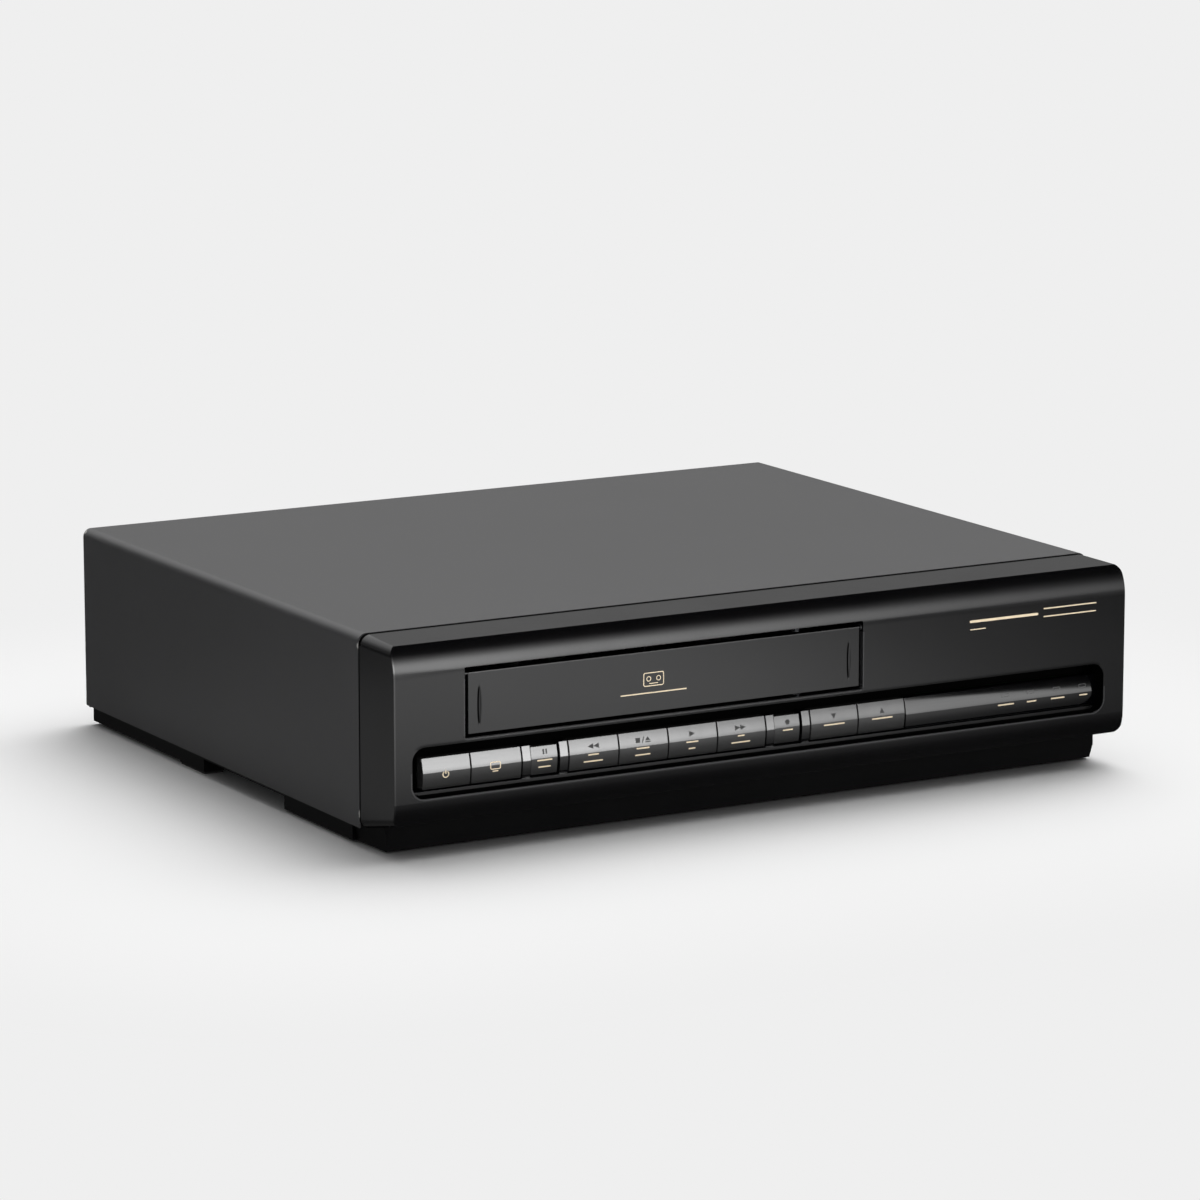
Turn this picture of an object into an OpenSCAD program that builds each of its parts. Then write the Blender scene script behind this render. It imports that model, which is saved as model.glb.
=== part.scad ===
// Video cassette recorder, front-loading, on a low plinth.
// X runs to the right, Y to the back and Z up, from the middle of its footprint on the floor.

/* [Cover] */
// Width of the steel cover
cover_w = 430; // [424:1:450]
// Length of the cover, from the front panel to its rear edge
cover_d = 324; // [318:1:350]
// Height of the cover's sides
cover_h = 97.2; // [96.4:0.2:102]
// Thickness of the cover's sheet
cover_t = 0.8; // [0.6:0.1:1]
// Outer radius of the cover's two top bends
cover_r = 4.5; // [3.5:0.5:6]
// Height of the cover's lower edge above the floor
edge_z = 10.5; // [10:0.25:11.5]
// Height of the flange that the cover turns down over the rear panel
rear_lip = 9; // [7:0.5:12]

/* [Front panel] */
// Depth of the moulded front panel
panel_d = 37; // [36:0.5:42]
// How far the panel's outline lies inside the cover's
panel_inset = 0.3; // [0.2:0.1:0.6]
// Wall of the panel's moulding
panel_wall = 2.5; // [2:0.1:3]
// Radius of the curve above the flat face
brow_r = 24.5; // [22:0.5:28]
// Height of that curve, up to the crease under the top face
brow_h = 15.8; // [14:0.1:16.5]
// Fall of the top face from the cover to the crease
top_fall = 0.6; // [0:0.1:1.5]
// Radius of the curve below the flat face
chin_r = 21; // [18:0.5:26]
// Height of that curve
chin_h = 11.3; // [9:0.1:12]
// Rise of the underside from the cover to the front
under_rise = 7.3; // [5:0.1:8]
// Radius of the panel's upper side edges
panel_edge_r = 5.5; // [4:0.25:7]
// Radius of the panel's lower side edges
panel_foot_r = 4; // [2:0.25:6]
// Reach of the tongue that carries the cover's front edge
tongue_d = 6; // [4:0.5:10]

/* [Cassette door] */
// Distance from the panel's left side to the door
door_in = 41.1; // [39:0.1:43]
// Width of the door
door_w = 224.7; // [220:0.1:226]
// Height of the door
door_h = 31.3; // [30.6:0.1:31.6]
// Height of the door's lower edge above the floor
door_z = 60.2; // [60:0.1:60.8]
// Thickness of the door
door_t = 2.5; // [2:0.1:3]
// Gap round the door at its sides and above it
door_gap = 2.1; // [1.5:0.1:2.6]
// Depth of the door's face behind the panel's face
door_set = 0.6; // [0.3:0.1:1]
// Depth of the walls round the door opening
mouth_d = 9; // [7:0.5:12]
// Distance from the door's sides to the finger dimples
dimple_in = 6.1; // [5:0.1:8]
// Height of the dimples' middle above the door's lower edge
dimple_z = 13.8; // [12:0.1:16]
// Radius of the round that cuts a dimple
dimple_wheel = 64; // [50:1:80]
// Width of that round
dimple_w = 2.4; // [2:0.1:3]
// Depth of a dimple
dimple_d = 0.8; // [0.5:0.1:1]
// Radius of the door's hinge pins
door_pin_r = 1; // [0.8:0.1:1.2]
// Wire of the door's spring
spring_wire = 0.4; // [0.3:0.05:0.5]
// Turns of the door's spring
spring_turns = 2; // [1:1:2]

/* [Keys] */
// Distance from the panel's left side to the key recess
recess_in = 9.9; // [9:0.1:12]
// Distance from the key recess to the panel's right side
recess_out = 12.6; // [11:0.1:15]
// Height of the recess's lower edge above the floor
recess_z = 30.5; // [30:0.1:31]
// Height of the recess
recess_h = 25.9; // [25.4:0.1:26.2]
// Corner radius of the recess
recess_r = 7; // [5:0.5:9]
// Depth of the recess
recess_d = 13; // [12.5:0.1:14]
// Thickness of the recess's walls
recess_wall = 2; // [1.5:0.1:2.4]
// Gap between the recess's left end and the first key
row_in = 8.2; // [6:0.1:10]
// Width taken by the power key
power_key_w = 27; // [24:0.1:29]
// Width taken by a wide key
wide_key_w = 28.5; // [26:0.1:28.8]
// Width taken by a small key
small_key_w = 15.6; // [13:0.1:18]
// Width taken by a post between two groups of keys
post_w = 5.4; // [4:0.1:7]
// Gap between neighbouring keys
key_gap = 0.8; // [0.6:0.05:1]
// Height of the keys' lower edge above the recess's edge
key_low = 3.2; // [3:0.1:3.6]
// Height of the keys' crease above their lower edge
key_crease = 8.1; // [7:0.1:9]
// Height of a wide key
key_h = 15.4; // [14.5:0.1:16]
// Depth of the crease behind the panel's face
key_front = 5.4; // [4.5:0.1:6]
// Radius of the rounding of the keys' two faces, seen from the side
key_face_r = 40; // [30:1:60]
// Backward tilt of a key's upper face at the crease
key_tilt = 8; // [5:0.5:11]
// How far the small keys and their tops are set back
small_set = 1.3; // [0.8:0.1:1.8]
// Travel of a key
key_travel = 0.8; // [0.5:0.1:1]
// Thickness of the smoked window
window_t = 1.8; // [1.4:0.1:2.2]
// Number of indicator lamps
lamps = 4; // [2:1:5]
// Distance between the lamps
lamp_pitch = 15.9; // [14:0.1:17]
// Distance from the right end of the recess to the last lamp
lamp_out = 9.9; // [9:0.1:14]

/* [Base] */
// Distance of the base's sides inside the cover's
base_in = 3; // [2.5:0.25:5]
// Wall of the base and the plinth
base_wall = 2.5; // [2:0.1:3]
// Thickness of the base's floor
floor_t = 2; // [1.6:0.1:2.2]
// Height of the floor's underside
floor_z = 8; // [7.6:0.1:8.4]
// Height of the plinth's and the foot blocks' underside
skirt_z = 1.2; // [1:0.1:2]
// Height of the rear skirt's underside
rear_skirt_z = 2; // [1.6:0.1:3]
// Length of the base's front skirt behind the panel
front_skirt_d = 89; // [80:0.5:100]
// Distance from the panel back to the foot blocks
block_in = 183; // [170:1:195]
// Length of a foot block
block_d = 29; // [24:0.5:36]
// Width of a foot block
block_w = 11.5; // [9:0.5:16]
// Distance from the panel back to the joint between plinth and base
plinth_back = 13; // [10:0.5:16]
// Depth of the plinth's top edge behind the panel's face
plinth_in = 17; // [14:0.5:20]
// Rake of the plinth's front
plinth_rake = 4; // [2:0.5:6]
// Taper of the plinth's sides
plinth_taper = 1.2; // [0.6:0.1:3]
// Inward lean of the plinth's ends
plinth_lean = 7; // [0:0.5:9]
// Radius of the plinth's corners
plinth_r = 6; // [4:0.5:9]
// Radius of the front feet
foot_r = 9; // [7:0.5:12]
// Distance of the front feet from the base's sides
foot_in = 32; // [20:1:60]
// Distance of the steel bottom plate from the base's sides
bottom_in = 22; // [12:1:40]
// Thickness of the bottom plate
bottom_t = 0.8; // [0.6:0.1:1]
// Length of a slot in the bottom plate
slot_l = 36; // [24:1:46]
// Number of slots in a row of the bottom plate
slots = 14; // [6:1:18]

/* [Rear] */
// Thickness of the rear panel
rear_t = 1.1; // [0.8:0.1:1.5]
// Reach of the sockets past the cover's rear edge
jack_reach = 7; // [5:0.5:9]
// Radius of an aerial socket's thread
rf_r = 4.75; // [4.5:0.05:5]
// Distance between the aerial sockets
rf_pitch = 26; // [22:0.5:32]
// Height of the aerial sockets
rf_z = 44; // [40:0.5:48]
// Outer radius of a phono socket
phono_r = 4.15; // [4:0.05:4.4]
// Radius of a phono socket's hole
phono_hole_r = 1.75; // [1.6:0.05:2]
// Distance between the phono sockets
phono_pitch = 14; // [12:0.5:16]
// Height of the phono sockets
phono_z = 38; // [32:0.5:42]
// Travel of the channel switch
switch_travel = 4; // [2:0.5:5]
// Radius of the hole in the cord gland
gland_r = 3.6; // [3:0.1:4.5]
// Radius of the cover screws' heads
screw_r = 3.2; // [2.8:0.1:3.6]

/* [Carriage] */
// Height of the top of the deck plate
deck_z = 28; // [27.4:0.1:28.4]
// Thickness of the deck plate
deck_t = 2; // [1.6:0.1:2.2]
// Width of the deck plate
deck_w = 224; // [218:1:228]
// Length of the deck plate
deck_d = 208; // [205:1:212]
// Width of a cassette
tape_w = 188; // [187:0.5:189]
// Thickness of a cassette
tape_h = 25; // [24.6:0.1:25.2]
// Way that the carriage slides back
sled_travel = 61; // [50:1:62]
// Way that the holder then sinks
holder_drop = 25; // [23:0.5:25]
// Length of the carriage and its holder
sled_d = 40; // [36:1:42]
// Thickness of the carriage's plates
plate_t = 1.2; // [1:0.1:1.4]
// Radius of the carriage's guide pins
sled_pin_r = 2.4; // [2:0.1:2.6]
// Radius of the holder's lift pins
lift_pin_r = 2; // [1.6:0.1:2.2]
// Width of the holder's side shelves
shelf_w = 20; // [16:0.5:22]

/* [Tape drive] */
// Distance from the cover's front edge to the drum's axis
drum_in = 151; // [149:0.5:154]
// Radius of the head drum
drum_r = 31; // [30:0.1:31.4]
// Height of the upper drum
drum_h = 15.7; // [14:0.1:17]
// Tilt of the head drum
drum_tilt = 5; // [0:0.5:6]
// Radius of the drum's shaft
drum_shaft_r = 3; // [2.5:0.1:3.5]
// Distance from the cover's front edge to the reels' axes
reel_in = 43.5; // [42:0.5:45]
// Distance between the reels
reel_pitch = 90; // [88:0.5:91]
// Radius of a reel's flange
reel_r = 28; // [25:0.5:28.5]
// Radius of the idler's wheel
idler_r = 9.5; // [8.5:0.1:10]
// Length of the idler's arm
idler_arm_l = 18; // [17:0.5:19]
// Swing of the idler's arm to either side
idler_swing = 30; // [10:1:31]
// Radius of the capstan's shaft
capstan_r = 1.5; // [1.3:0.1:1.8]
// Radius of the capstan's flywheel
flywheel_r = 28; // [24:0.5:30]
// Radius of the capstan's pulley
capstan_pulley_r = 11; // [9:0.5:13]
// Radius of the centre pulley
centre_pulley_r = 14; // [12:0.5:16]
// Radius of the pinch roller
pinch_r = 6; // [5.5:0.1:6.2]
// Swing of the pinch arm
pinch_swing = 40; // [20:1:42]
// Travel of the tape guides
guide_travel = 62; // [55:0.5:63]
// Radius of the cam gear
cam_r = 18; // [15:0.5:19]
// Number of teeth on the cam gear
cam_teeth = 32; // [20:2:40]

/* [Boards] */
// Thickness of the circuit boards
board_t = 1.6; // [1.2:0.1:2]
// Height of the main boards' underside
board_z = 22; // [20:0.5:23]
// Height of a push switch with its plunger
push_h = 5; // [4.3:0.1:5.5]
// Height of the transformer
transformer_h = 46; // [36:1:56]
// Height of the heat sink
sink_h = 40; // [30:1:60]
// Number of fins on the heat sink
fins = 7; // [4:1:9]

/* [Clearances] */
// Gap between loose neighbours
gap = 0.3; // [0.25:0.05:0.35]
// Running clearance on the radius of a pin
fit = 0.05; // [0.03:0.01:0.08]

/* [Hidden] */
$fn = 64;
eps = 0.01;
big = 600;

black = "#2e2e30";
dark = "#1d1d1f";
steel = "#a9abae";
board_green = "#2f5d3a";

// Depth stations
all_d = panel_d + cover_d + jack_reach;
y_front = -all_d / 2;
y_seam = y_front + panel_d;
y_back = y_seam + cover_d;
y_end = y_back + jack_reach;
y_lip = y_back - cover_t;
y_rear = y_lip - gap;
// Height stations
z_top = edge_z + cover_h;
z_panel = z_top - panel_inset;
z_crease = z_panel - top_fall;
z_brow = z_crease - brow_h;
z_chin = edge_z + under_rise;
z_flat = z_chin + chin_h;
floor_top = floor_z + floor_t;
// Width stations
base_w = cover_w - 2 * base_in;
bottom_w = base_w - 2 * bottom_in;
foot_x = base_w / 2 - foot_in;
panel_x = cover_w / 2 - panel_inset;
brow_set = brow_r - sqrt(brow_r * brow_r - brow_h * brow_h);
chin_set = chin_r - sqrt(chin_r * chin_r - chin_h * chin_h);
under_slope = atan(under_rise / (panel_d - chin_set));
// Key row
recess_x0 = -panel_x + recess_in;
recess_x1 = panel_x - recess_out;
recess_y = y_front + recess_d;
key_z = recess_z + key_low;
row_x = recess_x0 + row_in;
row = [power_key_w, wide_key_w, post_w, small_key_w, post_w, wide_key_w, wide_key_w, wide_key_w,
    wide_key_w, post_w, small_key_w, post_w, wide_key_w, wide_key_w];
posts = [2, 4, 9, 11];
small_keys = [3, 10];
keys = [0, 1, 3, 5, 6, 7, 8, 10, 12, 13];
function row_at(i) = i == 0 ? row_x : row_at(i - 1) + row[i - 1];
function row_mid(i) = row_at(i) + row[i] / 2;
window_x0 = row_at(len(row)) + key_gap / 2;
stem_h = 5;
stem_z = key_z + key_crease - stem_h / 2;
key_flange_t = 1.2;
key_under_tilt = 1;
ledge_gap = 0.7;
ledge_y = y_front + key_front - 0.2;
tongue_fit = 0.2;
tongue_z = floor_top + 16;
lamp_slot = 5;
board_y = recess_y + recess_wall + gap + key_flange_t + key_travel + gap + push_h;
lamp_z = key_z + key_crease + 2.4;
// Door
door_x0 = -panel_x + door_in;
door_x1 = door_x0 + door_w;
mouth_low = 1.7;
door_top = door_z + door_h;
hinge_z = door_top - door_t / 2;
hinge_y = y_front + door_set + door_t / 2;
ear_t = 2;
spring_r = door_pin_r + gap + spring_wire / 2;
// Deck
deck_x = (door_x0 + door_x1) / 2;
deck_y = y_seam + 1;
deck_low = deck_z - deck_t;
holder_in = tape_w / 2 + 0.8;
holder_out = holder_in + plate_t;
sled_in = holder_out + 0.8;
sled_out = sled_in + plate_t;
rail_in = sled_out + 0.8;
rail_t = 1.5;
rail_h = 64;
rail_foot = 8;
shelf_z = door_z;
hold_h = tape_h + 1.3;
sled_top = deck_z + rail_h - 1;
slot_z = sled_top - 7;
lift_z = shelf_z + 14.3;
sled_pins = [6, sled_d - 6];
lift_pins = [11, sled_d - 9];
slot_end = sled_pins[1] + sled_travel + sled_pin_r;
rail_d = slot_end + 5;
drum_y = y_seam + drum_in;
drum_low = 6;
drum_split = 20;
reel_y = y_seam + reel_in;
reel_post_r = 2;
idler_y = reel_y + 28.5;
capstan_at = [deck_x + 66, drum_y - 34];
pulley_z = deck_low - 5.5;
belt_low = deck_low - 4.6;
belt_h = 2.4;
pinch_side = 90;
pinch_front = 18;
pinch_pivot = [deck_x + pinch_side, drum_y - pinch_front];
pinch_closed_turn = 20;
pinch_gap = pinch_r + capstan_r + gap;
pinch_closed = capstan_at + pinch_gap * [cos(pinch_closed_turn), sin(pinch_closed_turn)];
pinch_reach = norm(pinch_closed - pinch_pivot);
pinch_rest_turn = atan2(pinch_closed[1] - pinch_pivot[1], pinch_closed[0] - pinch_pivot[0])
    + pinch_swing;
pinch_at = pinch_pivot + pinch_reach * [cos(pinch_rest_turn), sin(pinch_rest_turn)];
guide_start = [38, -54];
guide_lean = 6;
guide_run = [guide_lean, sqrt(guide_travel * guide_travel - guide_lean * guide_lean)];
guide_turn = atan2(guide_run[0], guide_run[1]);
pivot_r = 2;
cam_at = [deck_x - 82, drum_y + 8];
cam_z = deck_z + 6;
cam_t = 5.6;
tension_at = [deck_x - 84, drum_y - 36];
tension_l = 26;
// Boards
side_in = cover_w / 2 - cover_t - 7;
main_x0 = deck_x + deck_w / 2 + 6;
main_x1 = side_in;
main_y0 = y_seam + 19;
main_y1 = y_rear - rear_t - 6;
power_x0 = -side_in;
power_x1 = main_x0 - 8;
power_y0 = deck_y + deck_d + 16;
power_y1 = main_y1 - 2;
board_top = board_z + board_t;
modulator_w = 52;
jack_margin = 1;
modulator_x = main_x1 - modulator_w / 2 - jack_margin;
jack_face = y_rear - rear_t - 4;
phono_block_in = 5.2;
phono_x = main_x0 + jack_margin + phono_block_in + 1.5 * phono_pitch;
switch_x = modulator_x - switch_travel / 2;
switch_z = rf_z - 13;
gland_x = -side_in + 18;
gland_z = 34;
post_r = 4;
pilot_r = 1.25;
hole_r = 1.6;
boss_r = 3;
boss_z = recess_z - 1;
boss_x = [recess_x0 + 6, row_at(5), row_at(10), window_x0 + 6, recess_x1 - 4];
core_left = 44;
core_back = 40;
transformer_at = [power_x0 + core_left, power_y0 + core_back];
core_w = 58;
core_d = 34;
core_limb = 12;
core_yoke = 10;
coil_d = 48;
sink_left = 92;
sink_back = 14;
sink_at = [power_x0 + sink_left, power_y0 + sink_back];
sink_l = 44;
sink_d = 16;
sink_t = 3;
fin_t = 1.2;
tuner_w = 46;
tuner_l = 70;
tuner_h = 28;
tuner_in = 6;
tuner_back = 150;
modulator_d = 42;
modulator_h = 32;
phono_block_d = 12;
tip_hole = 9;
collar_h = 0.6;
collar_t = 0.2;
gland_wall = 2.4;
gland_rim = 2;
vents = 14;
vent_w = 3;
vent_h = 24;
head_h = 28;
pin_h = 29;

// A flat outline in Y and Z, drawn out from x0 to x1
module along_x(x0, x1) {
    translate([x0, 0, 0]) rotate([90, 0, 90]) linear_extrude(x1 - x0) children();
}

// A flat outline in X and Z, drawn out from y0 to y1
module along_y(y0, y1) {
    translate([0, y1, 0]) rotate([90, 0, 0]) linear_extrude(y1 - y0) children();
}

// A box from its lowest to its highest corner
module box(low, high) {
    translate(low) cube(high - low);
}

module rounded(low, high, r) {
    translate(low) union() {
        translate([r, 0]) square([high[0] - low[0] - 2 * r, high[1] - low[1]]);
        translate([0, r]) square([high[0] - low[0], high[1] - low[1] - 2 * r]);
        for (x = [r, high[0] - low[0] - r], y = [r, high[1] - low[1] - r])
            translate([x, y]) circle(r);
    }
}

module slot2d(length, r) {
    translate([0, -r]) square([length, 2 * r]);
    circle(r);
    translate([length, 0]) circle(r);
}

module rod(at, z0, z1, r) {
    translate([at[0], at[1], z0]) cylinder(r = r, h = z1 - z0);
}

// A rod along Y
module stud(x, z, y0, y1, r) {
    translate([x, y1, z]) rotate([90, 0, 0]) cylinder(r = r, h = y1 - y0);
}

// A rod along X
module axle(y, z, x0, x1, r) {
    translate([x0, y, z]) rotate([0, 90, 0]) cylinder(r = r, h = x1 - x0);
}

// Cross-section of the cover, shrunk by t on every side and open below
module cover_outline(t) {
    w = cover_w - 2 * t;
    r = max(cover_r - t, 0.2);
    translate([-w / 2, edge_z - (t > 0 ? 1 : 0)])
        square([w, cover_h - t - r + (t > 0 ? 1 : 0)]);
    translate([-w / 2 + r, z_top - t - r - eps]) square([w - 2 * r, r + eps]);
    for (s = [-1, 1]) translate([s * (w / 2 - r), z_top - t - r]) circle(r);
}

screw_x = [-cover_w / 3, 0, cover_w / 3];
screw_z = z_top - cover_t - rear_lip / 2;
side_screw_x = cover_w / 2 - cover_t - rear_lip / 2;
side_screw_z = edge_z + 20;
shank_r = 1.4;

module cover_screw_places() {
    for (x = screw_x) translate([x, 0, screw_z]) children();
    for (s = [-1, 1]) translate([s * side_screw_x, 0, side_screw_z]) children();
}

module top_cover() {
    color(black) difference() {
        union() {
            difference() {
                along_y(y_seam, y_back) cover_outline(0);
                along_y(y_seam - 1, y_back + 1) cover_outline(cover_t);
            }
            difference() {
                along_y(y_lip, y_back) cover_outline(cover_t / 2);
                box([-cover_w / 2 + rear_lip, y_lip - 1, 0],
                    [cover_w / 2 - rear_lip, y_back + 1, z_top - cover_t - rear_lip]);
                box([-cover_w, y_lip - 1, 0], [cover_w, y_back + 1, edge_z]);
            }
        }
        cover_screw_places() stud(0, 0, y_lip - 1, y_back + 1, shank_r + gap);
    }
}

module cover_screws() {
    color(dark) cover_screw_places() difference() {
        union() {
            stud(0, 0, y_lip - rear_t - 5, y_back, shank_r);
            stud(0, 0, y_back, y_back + 1.8, screw_r);
        }
        for (a = [0, 90]) rotate([0, a, 0])
            box([-screw_r * 0.6, y_back + 0.9, -0.45], [screw_r * 0.6, y_back + 3, 0.45]);
    }
}

// Side view of the panel, shrunk by t
module panel_profile(t) {
    low = [y_front + chin_r, z_flat];
    high = [y_front + brow_r, z_brow];
    drop = t / cos(under_slope);
    back = y_seam + (t > 0 ? 1 : 0);
    difference() {
        polygon([[y_front + t, edge_z + under_rise * (panel_d / (panel_d - chin_set)) + drop],
            [back, edge_z + drop], [back, z_panel - t],
            [y_front + brow_set, z_crease - t], [y_front + t, z_crease - t]]);
        difference() {
            translate([y_front - 1, z_brow]) square([brow_r + 1, brow_h + panel_d]);
            translate(high) circle(brow_r - t);
        }
        difference() {
            translate([y_front - 1, edge_z]) square([chin_r + 1, z_flat - edge_z]);
            translate(low) circle(chin_r - t);
        }
    }
}

// Cutter for a long edge at the origin, running along Y, which keeps a round of radius r
module edge_cutter(r) {
    along_y(-big, big) difference() {
        translate([-r, -r]) square(2 * r);
        translate([-r, -r]) circle(r);
    }
}

module panel_body() {
    difference() {
        along_x(-panel_x, panel_x) panel_profile(0);
        for (s = [0, 1]) mirror([s, 0, 0]) {
            translate([panel_x, 0, z_panel]) edge_cutter(panel_edge_r);
            translate([panel_x, y_seam, edge_z]) rotate([-under_slope, 0, 0])
                mirror([0, 0, 1]) edge_cutter(panel_foot_r);
        }
    }
}

module recess_outline(t) {
    rounded([recess_x0 - t, recess_z - t], [recess_x1 + t, recess_z + recess_h + t], recess_r + t);
}

// Side view of a key or post, its height measured from the recess's edge
module key_profile(z0, crease_z, z1, back, set) {
    y0 = y_front + key_front + set;
    for (part = [[crease_z, z1, key_tilt], [z0, crease_z, -key_under_tilt]]) intersection() {
        translate([y0, part[0]]) square([back - y0, part[1] - part[0]]);
        translate([y0 + key_face_r * cos(part[2]), crease_z - key_face_r * sin(part[2])])
            circle(key_face_r);
    }
}

module key_cap(i, small) {
    set = small ? small_set : 0;
    top = key_z + key_h - set;
    along_x(row_at(i) + key_gap / 2, row_at(i) + row[i] - key_gap / 2)
        key_profile(key_z, key_z + key_crease, top, recess_y - gap - key_travel, set);
}

module key(i) {
    x = row_mid(i);
    w = row[i] - 2 * (key_gap + gap) - 4;
    y1 = recess_y + recess_wall + gap;
    color(black) union() {
        key_cap(i, search(i, small_keys) != []);
        box([x - w / 2, recess_y - gap - key_travel - eps, stem_z],
            [x + w / 2, y1 + eps, stem_z + stem_h]);
        box([x - w / 2 - 1.5, y1, stem_z - 1.5],
            [x + w / 2 + 1.5, y1 + key_flange_t, stem_z + stem_h + 1.5]);
    }
}

// The rim that slips into the cover's front edge
module panel_tongue() {
    difference() {
        along_y(y_seam - 2, y_seam + tongue_d) intersection() {
            cover_outline(cover_t + tongue_fit);
            translate([-big / 2, tongue_z]) square(big);
        }
        along_y(y_seam - 3, y_seam + tongue_d + 1) cover_outline(cover_t + panel_wall);
    }
}

// The hole for a key's stem in the recess's back wall
module key_slot(i) {
    half = row[i] / 2 - key_gap - 2;
    box([row_mid(i) - half, recess_y - 1, stem_z - gap],
        [row_mid(i) + half, recess_y + recess_wall + 1, stem_z + stem_h + gap]);
}

// The sloping ledge in front of and below the keys
module key_ledge() {
    box([recess_x0, ledge_y, recess_z - 0.5], [recess_x1, recess_y + eps, key_z - ledge_gap]);
}

module post(i) {
    along_x(row_at(i) + key_gap / 2, row_at(i) + row[i] - key_gap / 2)
        key_profile(key_z - ledge_gap - 0.1, key_z + key_crease, key_z + key_h,
            recess_y + eps, 0);
}

module front_panel() {
    x0 = door_x0 - door_gap;
    x1 = door_x1 + door_gap;
    z0 = door_z - mouth_low;
    z1 = door_top + door_gap;
    inner = y_front + panel_wall;
    color(black) union() {
        difference() {
            union() {
                difference() {
                    panel_body();
                    along_x(-panel_x + panel_wall, panel_x - panel_wall) panel_profile(panel_wall);
                }
                along_y(inner - eps, recess_y + recess_wall) recess_outline(recess_wall);
                box([x0 - ear_t, inner - eps, z0 - ear_t],
                    [x1 + ear_t, y_front + mouth_d, z1 + ear_t]);
                panel_tongue();
                for (x = boss_x) stud(x, boss_z, recess_y + recess_wall - eps, board_y, boss_r);
            }
            box([x0, y_front - 1, z0], [x1, y_seam, z1]);
            along_y(y_front - 1, recess_y) recess_outline(0);
            for (i = keys) key_slot(i);
            box([window_x0 + 10, recess_y - 1, lamp_z - lamp_slot],
                [recess_x1 - 5, recess_y + recess_wall + 1, lamp_z + lamp_slot]);
            axle(hinge_y, hinge_z, x0 - ear_t - 1, x1 + ear_t + 1, door_pin_r + fit);
            for (x = boss_x) stud(x, boss_z, board_y - 7, board_y + 1, pilot_r);
        }
        intersection() {
            along_y(y_front, recess_y + eps) recess_outline(0.5);
            union() {
                key_ledge();
                for (i = posts) post(i);
            }
        }
    }
}

module cassette_door() {
    y0 = y_front + door_set;
    color(black) difference() {
        union() {
            box([door_x0, y0, door_z], [door_x1, y0 + door_t, hinge_z]);
            axle(hinge_y, hinge_z, door_x0, door_x1, door_t / 2);
            axle(hinge_y, hinge_z, door_x0 - door_gap - ear_t, door_x1 + door_gap + ear_t,
                door_pin_r);
            for (x = [door_x0 + 20, door_x1 - 20])
                box([x - 0.6, y0 + door_t - eps, door_z + 5],
                    [x + 0.6, y0 + door_t + 1, hinge_z - 3]);
        }
        for (x = [door_x0 + dimple_in, door_x1 - dimple_in])
            translate([x, y0 - dimple_wheel - dimple_w / 2 + dimple_d, door_z + dimple_z])
            rotate([0, 90, 0]) rotate_extrude($fn = 180) translate([dimple_wheel, 0])
            circle(dimple_w / 2, $fn = 32);
    }
}

module door_spring() {
    pitch = (door_gap - 2 * gap - spring_wire) / spring_turns;
    color(steel) spring(spring_r, spring_wire / 2, spring_turns, pitch,
        door_x1 + gap + spring_wire / 2);
}

// A coil of wire round the door's hinge pin, with one leg down to a foot behind the door
module spring(r, wire, turns, pitch, x0) {
    steps = 12;
    sides = 6;
    rings = turns * steps;
    leg = 9;
    foot = [-3, 0, -0.4];
    bend = [x0, hinge_y + r, hinge_z - leg];
    path = concat([bend + foot, bend],
        [for (i = [0:rings]) [x0 + pitch * i / steps, hinge_y + r * cos(360 * i / steps),
            hinge_z + r * sin(360 * i / steps)]]);
    function dir(i) = let (a = path[max(i - 1, 0)], b = path[min(i + 1, len(path) - 1)])
        (b - a) / norm(b - a);
    function side(i) = let (d = dir(i), c = cross(d, [1, 0, 0])) c / norm(c);
    points = [for (i = [0:len(path) - 1], k = [0:sides - 1])
        let (n = side(i), b = cross(dir(i), n), a = 360 * k / sides)
        path[i] + wire * (n * cos(a) + b * sin(a))];
    last = (len(path) - 1) * sides;
    walls = [for (i = [0:len(path) - 2], k = [0:sides - 1], t = [0, 1])
        let (a = i * sides + k, b = i * sides + (k + 1) % sides)
        t == 0 ? [a, b, b + sides] : [a, b + sides, a + sides]];
    caps = concat([for (k = [1:sides - 2]) [0, k + 1, k]],
        [for (k = [1:sides - 2]) [last, last + k, last + k + 1]]);
    polyhedron(points, concat(walls, caps));
}

module indicator_window() {
    low = key_z - 0.5;
    crease = key_z + key_crease - 1.1;
    high = key_z + key_h;
    color("#15161a") intersection() {
        along_y(y_front, recess_y) recess_outline(-gap - 0.1);
        difference() {
            along_x(window_x0, recess_x1) key_profile(low, crease, high, recess_y - gap, 0);
            along_x(window_x0 + window_t, recess_x1 - window_t - gap)
                key_profile(low + window_t, crease, high - window_t, recess_y + 1, window_t);
        }
    }
}

module lamp_places() {
    for (i = [0:lamps - 1]) translate([recess_x1 - lamp_out - lamp_pitch * i, 0, lamp_z])
        children();
}

module indicator_lamps() {
    color("#c8452f") lamp_places() union() {
        stud(0, 0, recess_y - 3, board_y, 1.5);
        stud(0, 0, board_y - 1.2, board_y, 1.9);
    }
}

module remote_sensor() {
    x = recess_x1 - lamp_out - lamp_pitch * (lamps - 1.5);
    half = lamp_slot / 2;
    color(steel) difference() {
        box([x - half, recess_y - 1, lamp_z - half], [x + half, board_y, lamp_z + half]);
        stud(x, lamp_z, recess_y - 2, recess_y, half - 0.7);
    }
}

module front_board() {
    color(board_green) difference() {
        box([recess_x0 + 1, board_y, recess_z - 6],
            [recess_x1 - 0.2, board_y + board_t, door_z - 6]);
        for (x = boss_x) stud(x, boss_z, board_y - 1, board_y + board_t + 1, hole_r);
    }
}

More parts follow.
